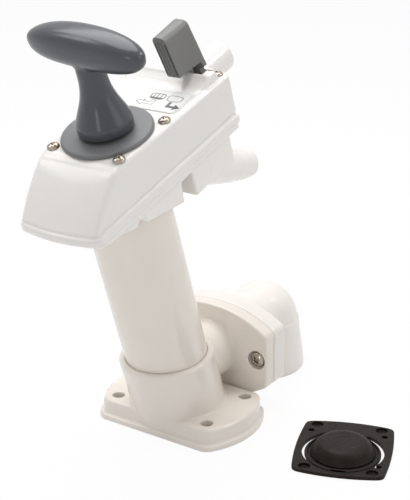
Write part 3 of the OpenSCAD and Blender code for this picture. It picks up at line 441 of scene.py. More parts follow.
COVER_H, CORNER = 40.8, 4.2
SIDE_LEAN = 1.2
RIM_OUT, RIM_T, GROOVE_R, GROOVE_IN, GROOVE_H = 2.0, 7.0, 1.1, 0.2, 7.9
FRONT_H, FRONT_RUN, FRONT_RISE, FRONT_LONG, BULGE = 8.0, 37.0, 32.8, 49.44, 2.6
HUMP_V, HUMP_H, HUMP_HALF, HUMP_INSET = 62.5, 7.2, 36.4, 3.4
RAMP = 17.0
TOP_H = COVER_H + HUMP_H
FACET, FACET_V, FACET_OUT, FACET_LEAN = (0.80, 0.60), 81.0, 30.8, 0.55
SCOOP_R = 6.4
RETURN_H, RETURN_V, RETURN_STEP_V, RETURN_END, RETURN_BORE_V = 24.6, 92.0, 102.0, 144.0, 82.5
WALL, ROOF_H, WELL_WALL_R = 4.0, 18.8, 20.0
ROOM_V, CAM_ROOM, RETURN_ROOM, PASSAGE = 58.0, (6.5, 76.5), (3.0, 61.5), (10.0, 80.0, 34.1)
SCREW_POST_R, SHANK_ROOM_R, HEAD_ROOM_R = 5.5, 2.8, 5.0
GASKET_T, GASKET_INSET = 2.0, 1.0
PIVOT = (20.6, 31.0)
SLOT_V, SLOT_HALF, SLOT_LOW = (80.5, 95.5), 8.6, 34.8
HUB_ROOM_HALF, HUB_ROOM_LOW = 7.3, 24.2
GATE_V, GATE_HALF, GATE_LOW = 89.5, 12.5, 42.3
SPINDLE_R, SPINDLE_V, RING_R, RING_V = 4.05, (75.5, 97), 5.65, (77.1, 78.8)


def sloping_front(x, v, h):
    """The bulged face that falls from the cover's top to its rim."""
    rise = np.clip(h / COVER_H, 0, 1)
    back = v + COVER_FRONT + bowed(x) * (1 - rise)
    along = (back * FRONT_RUN + (h - FRONT_H) * FRONT_RISE) / FRONT_LONG
    off = (-back * FRONT_RISE + (h - FRONT_H) * FRONT_RUN) / FRONT_LONG
    share = np.clip(along / FRONT_LONG, 0, 1)
    return off - 4 * BULGE * share * (1 - share)


def housing(x, v, h):
    """The raised part behind the label: a hollow ramp, sloping sides and scooped corners."""
    ramp_r = (RAMP**2 + HUMP_H**2) / (2 * HUMP_H)
    ramp = ramp_r - np.hypot(np.maximum(v, HUMP_V) - HUMP_V, h - COVER_H - ramp_r)
    ramp = np.where(v < HUMP_V + RAMP, ramp, h - TOP_H)
    foot_half = cover_half(v) - HUMP_INSET
    lean = (foot_half - HUMP_HALF) / HUMP_H
    sides = (np.abs(x) - foot_half + lean * (h - COVER_H)) / np.sqrt(1 + lean**2)
    facet = (np.abs(x) * FACET[0] + (FACET_V - v) * FACET[1]) - FACET_OUT + (h - TOP_H) * FACET_LEAN
    raised = cut(cut(ramp, h - TOP_H, 1.0), sides, 2.0)
    raised = cut(raised, facet, 1.0)
    raised = cut(raised, v - COVER_REAR + 0.3, 1.8)
    screw_x, screw_v, _ = REAR_SCREW
    for side in (-1, 1):
        raised = cut(raised, SCOOP_R - np.hypot(x - side * screw_x, v - screw_v), 1.2)
    return np.maximum(raised, np.maximum(COVER_H - 4.8 - h, HUMP_V + 0.5 - v))


def cover_shell(x, v, h):
    """The outside: the sloping front, the leaning sides, the housing, the rim and the hose tail."""
    share = np.clip((COVER_REAR - v) / (COVER_REAR + COVER_FRONT - FRONT_RUN), 0, 1)
    sides = np.abs(x) - cover_half(v) + SIDE_LEAN * h / COVER_H * share
    front = np.maximum(sloping_front(x, v, h), -(v + COVER_FRONT + bowed(x)))
    body = cut(cut(cut(front, sides, CORNER), h - COVER_H, CORNER), v - COVER_REAR, CORNER)
    body = join(body, housing(x, v, h), 1.2)
    rim = cut(cut(head_plan(x, v, -RIM_OUT), h - RIM_T, 3.0), -h, 1.6)
    body = join(np.maximum(body, 4 - h), rim, 0.5)
    body = cut(body, GROOVE_R - np.hypot(head_plan(x, v) - GROOVE_IN, h - GROOVE_H), 0.4)
    across = np.hypot(x, h - RETURN_H)
    tail = cut(across - TAIL_R, v - RETURN_END, 1.6)
    tail = join(tail, cut(across - TAIL_R - TAIL_STEP, v - RETURN_STEP_V, 0.5), 0.4)
    return join(body, np.maximum(tail, RETURN_V - v), 1.5)


def cover_hollow(x, v, h):
    """The rooms inside, with the walls between them and the posts round the screws."""
    inside = cut(head_plan(x, v, WALL), h - COVER_H + WALL, 2)
    inside = cut(inside, sloping_front(x, v, h) + WALL, 2)
    inside = np.maximum(inside, -cut(WELL_WALL_R - np.hypot(x, v), ROOF_H - h, 0))
    rooms = np.minimum(v - ROOM_V, np.maximum(CAM_ROOM[0] - x, v - CAM_ROOM[1]))
    rooms = np.minimum(rooms, np.maximum(RETURN_ROOM[1] - v, x - RETURN_ROOM[0]))
    rooms = np.minimum(rooms, np.maximum(np.maximum(PASSAGE[1] - v, x - PASSAGE[0]), h - PASSAGE[2]))
    inside = np.maximum(inside, rooms)
    for px, pv, _ in SCREWS:
        inside = np.maximum(inside, SCREW_POST_R - np.hypot(x - px, v - pv))
    return inside


def cover(x, v, h):
    body = np.maximum(cover_shell(x, v, h), -cover_hollow(x, v, h))
    body = np.maximum(body, -np.maximum(head_plan(x, v, GASKET_INSET), h - GASKET_T))
    across = np.hypot(x, h - RETURN_H)
    body = cut(body, -np.maximum(across - TAIL_BORE, RETURN_BORE_V - v), 0.8)
    body = cut(body, -np.maximum(np.hypot(x, v) - STEM_HOLE_R - 0.05, 18 - h), 0.6)
    beside, hub = np.abs(x - PIVOT[0]), np.hypot(x - PIVOT[0], h - PIVOT[1])
    slot = np.maximum(between(v, *SLOT_V), np.maximum(beside - SLOT_HALF, SLOT_LOW - h))
    hub_room = np.maximum(between(v, *SLOT_V), np.maximum(beside - HUB_ROOM_HALF, HUB_ROOM_LOW - h))
    gate = np.maximum(GATE_V - v, np.maximum(beside - GATE_HALF, GATE_LOW - h))
    body = cut(body, -np.minimum(np.minimum(slot, hub_room), gate), 0.7)
    body = np.maximum(body, -np.maximum(hub - SPINDLE_R, between(v, *SPINDLE_V)))
    body = np.maximum(body, -np.maximum(hub - RING_R, between(v, *RING_V)))
    for px, pv, ph in SCREWS:
        away = np.hypot(x - px, v - pv)
        body = cut(body, -np.minimum(away - SHANK_ROOM_R, np.maximum(away - HEAD_ROOM_R, ph - h)), 0.15)
    return body


cover_piece = moulded("cover_moulding", cover, (-43.7, -78.2, 0), (43.7, 144, 48), 0.92, ON_DECK)
fitted(cover_piece, "pump", "cover_white", cover_white, "top_cover")

# ---------------------------------------------------------------- the label's print
# The label carries two plain signs for the lever, printed in dark ink: a bowl left full with
# an arrow to the left, a bowl pumped dry with an arrow to the right, and a thin border.
FILM = {"gloss": (0.3, 0.36), "grain": (1600, 0.02)}
print_ink = plastic("label ink", (0.10, 0.10, 0.105), (0.13, 0.13, 0.135), **FILM)
border_ink = plastic("border ink", (0.50, 0.50, 0.50), (0.54, 0.54, 0.54), **FILM)

PRINT_H = 41.43
BOWLS_APART = 15.2
WATER_V, WATER_X = 51.2, (1.6, 12.4)
STROKES_X, STROKES_V = (3.6, 6.7, 9.8), (50.3, 56.2)
ROUND_BOWL = [(1.2, 51.4), (3.4, 50), (10.6, 50), (13, 51.8), (13, 55.4), (11.4, 57), (2, 57), (0.5, 55.6)]
BENT_ARROW = [
    (-6.3, 44.3), (-0.5, 40.5), (-0.5, 42.3), (8.5, 42.3), (8.5, 48.4), (5.4, 48.4), (5.4, 45.4),
    (-0.5, 45.4), (-0.5, 47.6),
]
SOLID_ARROW = [
    [(20.5, 41.8), (27.4, 41.8), (27.4, 44.4), (23, 44.4), (23, 49), (20.5, 49)],
    [(27.4, 39.6), (33, 43.1), (27.4, 46.7)],
]
BORDER = [(-30.6, 36.9), (30.6, 36.9), (32.3, 42.2), (32.3, 61.6), (-32.3, 61.6), (-32.3, 42.2)]


def ribbon(points, wide, closed=True):
    """The flat corners and faces of a line of even width through points."""
    line = np.array(points, float)
    ahead = np.roll(line, -1, 0) - line
    ahead /= np.linalg.norm(ahead, axis=1)[:, None]
    if not closed:
        ahead[-1] = ahead[-2]
    behind = np.roll(ahead, 1, 0)
    if not closed:
        behind[0] = ahead[0]
    mitre = ahead + behind
    mitre = np.stack([-mitre[:, 1], mitre[:, 0]], 1) / (1 + (ahead * behind).sum(1))[:, None]
    count = len(line)
    corners = np.concatenate([line + mitre * wide / 2, line - mitre * wide / 2])
    links = range(count if closed else count - 1)
    return corners, [(i, (i + 1) % count, count + (i + 1) % count, count + i) for i in links]


def printed(name, shapes, ink):
    """One flat mesh of printed shapes, a hair above the label."""
    points, faces = [], []
    for corners, sides in shapes:
        start = len(points)
        points += [(x, v, PRINT_H) for x, v in corners]
        faces += [[start + i for i in side] for side in sides]
    piece = meshed(name, points, faces, ON_DECK)
    piece.data.materials.append(ink)
    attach(piece, "pump")


arrow = [(corners, [range(len(corners))]) for corners in SOLID_ARROW]
strokes = [ribbon([(x, v) for v in STROKES_V], 0.6, False) for x in STROKES_X]
water = [ribbon([(x, WATER_V) for x in WATER_X], 1.9, False)]
dry_bowl = [(x + BOWLS_APART, v) for x, v in ROUND_BOWL]
outlines = [ribbon(ROUND_BOWL, 0.7), ribbon(dry_bowl, 0.6), ribbon(BENT_ARROW, 0.45)]
printed("label_signs", arrow + strokes + water + outlines, print_ink)
printed("label_border", [ribbon(BORDER, 0.3)], border_ink)

# ---------------------------------------------------------------- the gland
# The gland is a grey plastic disc with a stem that drops into the cover. It guides the rod and
# carries its seal, and it is sealed to the cover by a rubber ring.
gland_grey = plastic(
    "gland plastic", (0.155, 0.158, 0.163), (0.175, 0.178, 0.184), gloss=(0.4, 0.5), grain=(1300, 0.3)
)

GLAND_T, GLAND_R, GLAND_STEM_R, GLAND_LOW = 3.5, 33.8, 16.0, -20.0
ROD_HOLE_R = 6.08
RING_SEAT_R, RING_SEAT_H = 14.8, (-8, -5.55)
LIP_SEAT_R, LIP_SEAT_H = 11.05, (-15, -9.9)
gland_outline = (
    [(ROD_HOLE_R, GLAND_LOW), (GLAND_STEM_R, GLAND_LOW), (GLAND_STEM_R, RING_SEAT_H[0])]
    + [(RING_SEAT_R, h) for h in RING_SEAT_H]
    + [(GLAND_STEM_R, RING_SEAT_H[1]), (GLAND_STEM_R, 0), (GLAND_R - 0.8, 0), (GLAND_R, 0.8)]
    + eased((GLAND_R - 1.8, GLAND_T - 1.8), 1.8, 0, 90, 6)
    + [(20, GLAND_T), (6.6, GLAND_T), (ROD_HOLE_R, GLAND_T - 0.5), (ROD_HOLE_R, LIP_SEAT_H[1])]
    + [(LIP_SEAT_R, LIP_SEAT_H[1]), (LIP_SEAT_R, LIP_SEAT_H[0]), (ROD_HOLE_R, LIP_SEAT_H[0])]
)
gland = crease(turned("gland_disc", gland_outline, ON_DECK @ Matrix.Translation((0, 0, COVER_H / 1000))))
fitted(gland, "pump", "gland_grey", gland_grey, "gland")

# ---------------------------------------------------------------- the handle
# The handle is one solid moulding in bluish grey plastic, screwed on the rod: a blunt oval
# grip that droops at its ends, on a stem that flares to a round skirt.
handle_grey = plastic(
    "handle plastic", (0.056, 0.060, 0.070), (0.066, 0.070, 0.080), gloss=(0.2, 0.26), grain=(1100, 0.1)
)

SKIRT_W = DECK + COVER_H + GLAND_T + 2.2
SKIRT_R, SKIRT_BEND, SKIRT_WALL, SKIRT_TOP = 20.5, 7.0, 6.0, 8.79
CONE_R, CONE_FALL, CONE_TOP = 19.919, 0.4348, 20.3
STEM_R, SWEEP_R, SWEEP_TOP = 10.4, 54.41, 42.0
SLANTED_H, STEM_COS = (8, 34), 0.93
GRIP_A, GRIP_B, GRIP_UP, GRIP_DOWN = 52.95, 14.0, 11.44, 17.54
GRIP_H, DROOP = 67.03, 3.63
FLAT_N, ROUND_N = 0.83, 0.86
ROD_BORE_R, ROD_BORE_TOP = 6.05, 38.0


def stem_radius(h):
    """The stem's radius above the skirt's rim: a short wall, a cone and a long hollow sweep."""
    cone = CONE_R - CONE_FALL * (h - SKIRT_TOP)
    hollow = np.sqrt(np.maximum(SWEEP_R**2 - np.minimum(SWEEP_TOP - h, 50) ** 2, 1))
    bend = np.sqrt(np.maximum(SKIRT_BEND**2 - np.clip(h - SKIRT_WALL, 0, 6) ** 2, 0))
    upper = np.where(h < CONE_TOP, cone, np.where(h < SWEEP_TOP, STEM_R + SWEEP_R - hollow, STEM_R))
    return np.where(h < SKIRT_TOP, SKIRT_R - SKIRT_BEND + bend, upper)


def grip(x, y, z):
    """A blunt oval, flatter above than below, with its ends drooping."""
    z = z - GRIP_H + DROOP * (x / GRIP_A) ** 2
    tall = np.where(z > 0, GRIP_UP, GRIP_DOWN)
    ax, ay, az = (np.abs(a) / half + 1e-6 for a, half in ((x, GRIP_A), (y, GRIP_B), (z, tall)))
    level = ax ** (2 / ROUND_N) + ay ** (2 / ROUND_N)
    whole = level ** (ROUND_N / FLAT_N) + az ** (2 / FLAT_N)
    size = whole ** (FLAT_N / 2)
    lift = whole ** (FLAT_N / 2 - 1)
    ring = lift * level ** (ROUND_N / FLAT_N - 1)
    steep = np.sqrt(
        (ring * ax ** (2 / ROUND_N - 1) / GRIP_A) ** 2
        + (ring * ay ** (2 / ROUND_N - 1) / GRIP_B) ** 2
        + (lift * az ** (2 / FLAT_N - 1) / tall) ** 2
    )
    return (size - 1) / steep


def handle(x, y, z):
    across = np.hypot(x, y)
    slant = np.where(between(z, *SLANTED_H) < 0, STEM_COS, 1.0)
    stem = cut((across - stem_radius(z)) * slant, -z, 0.8)
    stem = np.maximum(stem, z - GRIP_H)
    body = join(stem, grip(x, y, z), 2.2)
    return np.maximum(body, -np.maximum(across - ROD_BORE_R, z - ROD_BORE_TOP))


GRIP_TURN = math.radians(-4.86)
ON_GLAND = UPRIGHT @ Matrix.Translation((0, 0, SKIRT_W / 1000)) @ Matrix.Rotation(GRIP_TURN, 4, "Z")
handle_piece = moulded("handle_moulding", handle, (-54, -21, 0), (54, 21, 79), 0.8, ON_GLAND)
fitted(handle_piece, "rod", "handle_grey", handle_grey, "handle")

# ---------------------------------------------------------------- the flush lever
# The lever is a grey plastic paddle on a thin foot. It stands in the slot of the housing, leans
# to one side or the other, and turns the cam that shuts the flush inlet. It is moulded askew,
# so that its top and bottom are level at rest.
lever_grey = plastic(
    "lever plastic", (0.165, 0.164, 0.158), (0.19, 0.189, 0.182), gloss=(0.36, 0.46), grain=(1400, 0.4)
)

TILT, SLANT = math.radians(-13.4), 0.238
PADDLE_V, PADDLE_HALF, PADDLE_TOP, PADDLE_LOW = (65.0, 95.5), 5.65, 53.5, 21.2
FLARE_V, FLARE_LONG, FLARE_H, FLARE_TALL = 72.0, 20.0, 46.0, 31.0
FLARE_ABOVE, FLARE_BELOW = 0.8, 1.6
LEG_V, LEG_HALF, LEG_LOW = (89.8, 95.0), 3.5, 15.0
HUB_R, HUB_V = 6.0, (81, 95)
GROOVES = ((-4.3, 0.7, 1.3), (4.3, 0.7, 1.3), (-1.3, 0.45, 0.7), (1.3, 0.45, 0.7))


def lever(x, v, z):
    level = z + x * SLANT
    flare = FLARE_ABOVE + FLARE_BELOW * np.clip((FLARE_H - z) / FLARE_TALL, 0, 1)
    side = np.abs(x) - PADDLE_HALF - np.clip((v - FLARE_V) / FLARE_LONG, 0, 1) * flare
    ends = np.where(v > LEG_V[0], LEG_LOW - z, PADDLE_LOW - level)
    paddle = cut(cut(side, level - PADDLE_TOP, 4.4), v - PADDLE_V[1], 2.2)
    paddle = cut(cut(paddle, PADDLE_V[0] - v, 0.9), ends, 0.7)
    leg = np.maximum(np.abs(x) - LEG_HALF, np.maximum(between(v, *LEG_V), between(z, 0, 26)))
    hub = cut(np.hypot(x, z) - HUB_R, between(v, *HUB_V), 0.4)
    body = join(join(paddle, leg, 0.8), hub, 1.0)
    for groove, half, deep in GROOVES:
        channel = np.maximum(np.abs(x - groove) - half, v - PADDLE_V[0] - deep)
        span = between(level, PADDLE_LOW + 0.8 + deep, PADDLE_TOP - 3 - abs(groove) / 2)
        body = cut(body, -np.maximum(channel, span), 0.25)
    return np.maximum(body, -(np.hypot(x, z) - SPINDLE_R))


ON_PIVOT = ON_DECK @ Matrix.Translation((PIVOT[0] / 1000, 0, PIVOT[1] / 1000))
ON_PIVOT = ON_PIVOT @ Matrix.Rotation(TILT, 4, "Y")
lever_piece = moulded("lever_moulding", lever, (-8.6, 64.5, -6.5), (8.6, 96, 55.2), 0.5, ON_PIVOT)
fitted(lever_piece, "lever", "lever_grey", lever_grey, "flush_lever")

# ---------------------------------------------------------------- the discharge elbow
# The elbow is a white moulding clamped to the outlet plate by two screws, with a rubber
# duckbill between them. It turns the discharge down into a bell that takes the waste pipe.
elbow_white = plastic("elbow plastic", (0.80, 0.765, 0.725), (0.79, 0.755, 0.715))

ELBOW_PLATE_Y, BEND_Y, BEND_R = 70.0, 120.0, 31.5
PIPE_R, PIPE_Y, WAY_R = 29.5, 55.0, 22.0
BELL_R, BELL_H, BELL_RISE, BELL_RUN, BELL_SLOPE = 38.5, 36.5, 31.0, 7.0, 31.78
CUP_R, CUP_H = 24.2, 24.0
DUCKBILL_R, DUCKBILL_T = 25.05, 3.0
PILOT_R, PILOT_Y = 3.05, 67.0


def elbow(x, y, z):
    plate = cut(plate_outline(x, z), between(y, JOINT_Y, ELBOW_PLATE_Y), 1.6)
    level = np.hypot(x, z - OUTLET_Z)
    upright = np.hypot(x, y - BEND_Y)
    ball = np.sqrt(x**2 + (y - BEND_Y) ** 2 + (z - OUTLET_Z) ** 2)
    pipe = np.maximum(level - PIPE_R, between(y, PIPE_Y, BEND_Y))
    cone = ((upright - BEND_R) * BELL_RISE + (z - BELL_H) * BELL_RUN) / BELL_SLOPE
    bell = cut(cut(cone, upright - BELL_R, 3), -z, 3.5)
    leg = np.maximum(join(bell, upright - BEND_R, 8), np.maximum(z - OUTLET_Z, -z))
    body = join(join(plate, pipe, 2.5), join(ball - BEND_R, leg, 1), 3)
    down = np.maximum(upright - WAY_R, z - OUTLET_Z)
    way = np.minimum(np.maximum(level - WAY_R, y - BEND_Y), np.minimum(ball - WAY_R, down))
    body = np.maximum(body, -way)
    body = cut(body, -np.maximum(upright - CUP_R, z - CUP_H), 0.8)
    body = np.maximum(body, -np.maximum(level - DUCKBILL_R, y - JOINT_Y - DUCKBILL_T))
    clamp = np.hypot(np.abs(x) - CLAMP_X, z - OUTLET_Z)
    return np.maximum(body, -np.maximum(clamp - PILOT_R, y - PILOT_Y))


elbow_piece = moulded("elbow_moulding", elbow, (-55, 53.5, 0), (55, 158.6, 84.2), 1.0)
fitted(elbow_piece, "pump", "elbow_white", elbow_white, "discharge_elbow")

# ---------------------------------------------------------------- the screws
# Cross-head screws in stainless steel: six hold the cover on the head, two clamp the elbow.
# Each has a pressed, low domed head with a turned rim and a tapered cross.


def steel_finish(name, colour, dark, rough):
    """Bright steel with faint turning marks and blotches of a darker tone."""
    made = bpy.data.materials.new(name)
    made.use_nodes = True
    tree = made.node_tree
    new, link = tree.nodes.new, tree.links.new
    principled = tree.nodes["Principled BSDF"]
    principled.inputs["Metallic"].default_value = 1.0
    where, tone_blotches, marks = new("ShaderNodeTexCoord"), new("ShaderNodeTexNoise"), new("ShaderNodeTexNoise")
    tone_blotches.inputs["Scale"].default_value = 260
    marks.inputs["Scale"].default_value = 1800
    marks.inputs["Detail"].default_value = 4
    mix, rough_map, bump = new("ShaderNodeMix"), new("ShaderNodeMapRange"), new("ShaderNodeBump")
    mix.data_type = "RGBA"
    mix.inputs["A"].default_value = (*colour, 1)
    mix.inputs["B"].default_value = (*dark, 1)
    bump.inputs["Strength"].default_value = 0.25
    bump.inputs["Distance"].default_value = 0.0002
    rough_map.inputs["To Min"].default_value = rough[0]
    rough_map.inputs["To Max"].default_value = rough[1]
    link(where.outputs["Object"], tone_blotches.inputs["Vector"])
    link(where.outputs["Object"], marks.inputs["Vector"])
    link(tone_blotches.outputs["Fac"], mix.inputs["Factor"])
    link(mix.outputs["Result"], principled.inputs["Base Color"])
    link(marks.outputs["Fac"], rough_map.inputs["Value"])
    link(rough_map.outputs["Result"], principled.inputs["Roughness"])
    link(marks.outputs["Fac"], bump.inputs["Height"])
    link(bump.outputs["Normal"], principled.inputs["Normal"])
    return made


# The screws' brown tint, in both tones, is a painted brownish reflection, not the colour of the steel.
screw_steel = steel_finish("screw steel with painted reflection", (0.50, 0.45, 0.37), (0.30, 0.26, 0.21), (0.14, 0.25))
rod_steel = steel_finish("rod steel", (0.62, 0.61, 0.59), (0.50, 0.49, 0.47), (0.12, 0.24))

HEAD_D, HEAD_H = 9.4, 3.2
DOME_R, DOME_LOW = 6.25, -3.05
SHANK_R, SHANK_LONG = 2.5, 14.0
CROSS_HALF, CROSS_REACH, CROSS_H = 0.66, 2.3, 1.1
HALF_TAPER, REACH_TAPER = 0.1, 0.5


def screw(x, y, z):
    """A screw with a domed head and an upright edge, seated at z = 0, its shank below."""
    away = np.hypot(x, y)
    dome = np.sqrt(away**2 + (z - DOME_LOW) ** 2) - DOME_R
    top = cut(cut(dome, away - HEAD_D / 2, 0.6), -z, 0.25)
    shank = cut(away - SHANK_R, -z - SHANK_LONG, 0.4)
    arm = CROSS_HALF - (HEAD_H - z) * HALF_TAPER
    reach = CROSS_REACH - (HEAD_H - z) * REACH_TAPER
    one_arm = np.maximum(np.abs(x) - arm, np.abs(y) - reach)
    cross = np.minimum(one_arm, np.maximum(np.abs(y) - arm, np.abs(x) - reach))
    body = join(top, np.maximum(shank, z - 1), 0.2)
    return cut(body, -np.maximum(cross, CROSS_H - z), 0.12)


master = moulded("screw_master", screw, (-4.8, -4.8, -SHANK_LONG), (4.8, 4.8, HEAD_H), 0.22)


def screw_tree(material):
    """A node tree that stands one screw on each point of a mesh, aimed along its own axis."""
    tree = bpy.data.node_groups.new("set of screws", "GeometryNodeTree")
    face = tree.interface
    face.new_socket("Places", in_out="INPUT", socket_type="NodeSocketGeometry")
    face.new_socket("Screw", in_out="INPUT", socket_type="NodeSocketObject")
    face.new_socket("Head diameter", in_out="INPUT", socket_type="NodeSocketFloat").default_value = HEAD_D
    face.new_socket("Set", in_out="OUTPUT", socket_type="NodeSocketGeometry")
    new, link = tree.nodes.new, tree.links.new
    given, out = new("NodeGroupInput"), new("NodeGroupOutput")
    shape = new("GeometryNodeObjectInfo")
    shape.transform_space = "ORIGINAL"
    aim, turn = new("GeometryNodeInputNamedAttribute"), new("GeometryNodeInputNamedAttribute")
    aim.data_type, turn.data_type = "FLOAT_VECTOR", "FLOAT"
    aim.inputs["Name"].default_value = "aim"
    turn.inputs["Name"].default_value = "turn"
    align, spin, about = (
        new("FunctionNodeAlignRotationToVector"),
        new("FunctionNodeRotateRotation"),
        new("FunctionNodeAxisAngleToRotation"),
    )
    align.axis = "Z"
    spin.rotation_space = "LOCAL"
    about.inputs["Axis"].default_value = (0, 0, 1)
    size = new("ShaderNodeMath")
    size.operation = "DIVIDE"
    size.inputs[1].default_value = HEAD_D
    stand, real, finish = (
        new("GeometryNodeInstanceOnPoints"),
        new("GeometryNodeRealizeInstances"),
        new("GeometryNodeSetMaterial"),
    )
    finish.inputs["Material"].default_value = material
    link(given.outputs["Screw"], shape.inputs["Object"])
    link(given.outputs["Head diameter"], size.inputs[0])
    link(aim.outputs["Attribute"], align.inputs["Vector"])
    link(align.outputs["Rotation"], spin.inputs["Rotation"])
    link(turn.outputs["Attribute"], about.inputs["Angle"])
    link(about.outputs["Rotation"], spin.inputs["Rotate By"])
    link(given.outputs["Places"], stand.inputs["Points"])
    link(shape.outputs["Geometry"], stand.inputs["Instance"])
    link(spin.outputs["Rotation"], stand.inputs["Rotation"])
    link(size.outputs["Value"], stand.inputs["Scale"])
    link(stand.outputs["Instances"], real.inputs["Geometry"])
    link(real.outputs["Geometry"], finish.inputs["Geometry"])
    link(finish.outputs["Geometry"], out.inputs["Set"])
    return tree


screws_tree = screw_tree(screw_steel)


def screw_set(name, places, aim, turns, head_d):
    """One plain mesh of screws at these places, in metres, all aimed one way."""
    mesh = bpy.data.meshes.new(name + " places")
    mesh.from_pydata(places, [], [])
    mesh.attributes.new("aim", "FLOAT_VECTOR", "POINT").data.foreach_set("vector", list(aim) * len(places))
    mesh.attributes.new("turn", "FLOAT", "POINT").data.foreach_set("value", [math.radians(t) for t in turns])
    holder = placed(name + " places", mesh)
    modifier = holder.modifiers.new("set of screws", "NODES")
    modifier.node_group = screws_tree
    sockets = {s.name: s.identifier for s in screws_tree.interface.items_tree if s.in_out == "INPUT"}
    modifier[sockets["Screw"]] = master
    modifier[sockets["Head diameter"]] = head_d
    bpy.context.view_layer.update()
    seen = holder.evaluated_get(bpy.context.evaluated_depsgraph_get())
    made = bpy.data.meshes.new_from_object(seen)
    made.name = name
    bpy.data.objects.remove(holder)
    return placed(name, made)


COVER_TURNS, CLAMP_TURNS = (38, 14, 50, 62, 27, 5), (10, 33)
CLAMP_HEAD_D = 14.0
up = ON_DECK.to_3x3() @ Vector((0, 0, 1))
cover_places = [ON_DECK @ Vector((x / 1000, v / 1000, h / 1000)) for x, v, h in SCREWS]
cover_set = screw_set("cover_screw_set", cover_places, up, COVER_TURNS, HEAD_D)
fitted(cover_set, "pump", "screw_steel", screw_steel, "cover_screws")
clamp_places = [(s * CLAMP_X / 1000, (PLATE_Y + CLAMP_SEAT) / 1000, OUTLET_Z / 1000) for s in (-1, 1)]
clamp_set = screw_set("clamp_screw_set", clamp_places, (0, -1, 0), CLAMP_TURNS, CLAMP_HEAD_D)
fitted(clamp_set, "pump", "screw_steel", screw_steel, "discharge_screws")
bpy.data.objects.remove(master)

# ---------------------------------------------------------------- the suction gasket
# The suction valve is a flat moulding in black rubber that is clamped under the foot: a
# four-hole gasket and a flap with a weighted boss, which lifts to let the water in.
valve_rubber = plastic(
    "valve rubber", (0.003, 0.0022, 0.0017), (0.008, 0.006, 0.005), gloss=(0.42, 0.55), mottle=90,
    grain=(900, 0.4), Specular_IOR_Level=0.22, Specular_Tint=(1, 0.88, 0.8, 1),
)

LOOSE_X, LOOSE_Y, LOOSE_TURN = 139.7, 20.6, math.radians(21.5)
RUBBER_X, RUBBER_Y, RUBBER_T, CORNERS_R = 37.5, 42.0, 3.0, 50.66
SIDE_HALF, SIDE_BOW, END_HALF, END_BOW = 38, 2.5, 35, 4
WINDOW_R, FLAP_Y, HINGE_Y = 31.8, -5.2, 21.4
CLAMPED_X, CLAMPED_Y, CLAMPED_R = 25.7, 33.5, 4.6
PEG_X, PEG_Y, PEG_R = 29.2, 23.5, 2.4
# The bolt and peg holes stop on a thin rubber floor this high: a dark sheet that stands in for the shade
# inside holes which really go right through.
HOLE_SHADE_FLOOR = 0.7
FLAP_R, FLAP_SHIFT, TONGUE_R, TONGUE_HALF = 29.6, 1.3, 31.2, 15.0
BOSS_R, BOSS_H, BOSS_LEAN, BOSS_COS = 24.8, 9.0, 0.55, 0.876
MOAT, MOAT_FLOOR = (25.2, 27.4), 1.3
RIPPLE, RIPPLE_TURN, RIPPLE_H = 0.06, 1.15, 7.0
WEIGHT_R, WEIGHT_H = 17.05, (3, 8.1)


def rubber_outline(x, y):
    """Four bowed sides with small round corners."""
    side_r = (SIDE_HALF**2 + SIDE_BOW**2) / (2 * SIDE_BOW)
    end_r = (END_HALF**2 + END_BOW**2) / (2 * END_BOW)
    sides = np.hypot(np.abs(x) - RUBBER_X + side_r, y) - side_r
    ends = np.hypot(x, np.abs(y) - RUBBER_Y + end_r) - end_r
    return cut(cut(sides, ends, 2.5), np.hypot(x, y) - CORNERS_R, 2.0)


def gasket(x, y, z):
    body = cut(rubber_outline(x, y), between(z, 0, RUBBER_T), 0.6)
    window = cut(np.hypot(x, y - FLAP_Y) - WINDOW_R, y - HINGE_Y, 0.8)
    body = cut(body, -window, 0.5)
    # Each hole ends in that rubber floor, painted shade in place of a through hole.
    bolt = np.hypot(np.abs(x) - CLAMPED_X, np.abs(y) - CLAMPED_Y)
    body = cut(body, -np.maximum(bolt - CLAMPED_R, HOLE_SHADE_FLOOR - z), 0.3)
    for px, py in ((-PEG_X, PEG_Y), (PEG_X, PEG_Y), (PEG_X, -PEG_Y)):
        body = cut(body, -np.maximum(np.hypot(x - px, y - py) - PEG_R, HOLE_SHADE_FLOOR - z), 0.3)
    return body


def flap(x, y, z):
    from_middle = np.hypot(x, y - FLAP_Y)
    from_edge = np.hypot(x, y - FLAP_Y + FLAP_SHIFT)
    tongue = np.maximum(np.abs(x) - TONGUE_HALF, between(y, 0, HINGE_Y + 5))
    plan = np.minimum(from_edge - FLAP_R, np.maximum(tongue, from_middle - TONGUE_R))
    sheet = cut(np.maximum(plan, y - HINGE_Y + 0.3), between(z, 0, RUBBER_T), 0.7)
    wall = (from_middle - BOSS_R + (z - RUBBER_T) * BOSS_LEAN) * BOSS_COS
    boss = cut(np.maximum(wall, 2 - z), z - RUBBER_T - BOSS_H, 4.5)
    rings = RIPPLE * np.cos(from_middle * RIPPLE_TURN) * (z > RUBBER_T + RIPPLE_H)
    body = join(sheet, boss + rings, 0.4)
    body = cut(body, -np.maximum(between(from_middle, *MOAT), MOAT_FLOOR - z), 0.2)
    return np.maximum(body, -np.maximum(from_middle - WEIGHT_R, between(z, *WEIGHT_H)))


LOOSE = Matrix.Translation((LOOSE_X / 1000, LOOSE_Y / 1000, 0)) @ Matrix.Rotation(LOOSE_TURN, 4, "Z")
gasket_piece = moulded("suction_gasket_moulding", gasket, (-38, -42.5, 0), (38, 42.5, 3), 0.6, LOOSE)
fitted(gasket_piece, "pump", "valve_rubber", valve_rubber, "suction_gasket")
flap_piece = moulded("suction_flap_moulding", flap, (-31.5, -34.5, 0), (31.5, 21.6, 12.1), 0.6, LOOSE)
fitted(flap_piece, "suction_valve", "valve_rubber", valve_rubber, "suction_flap")

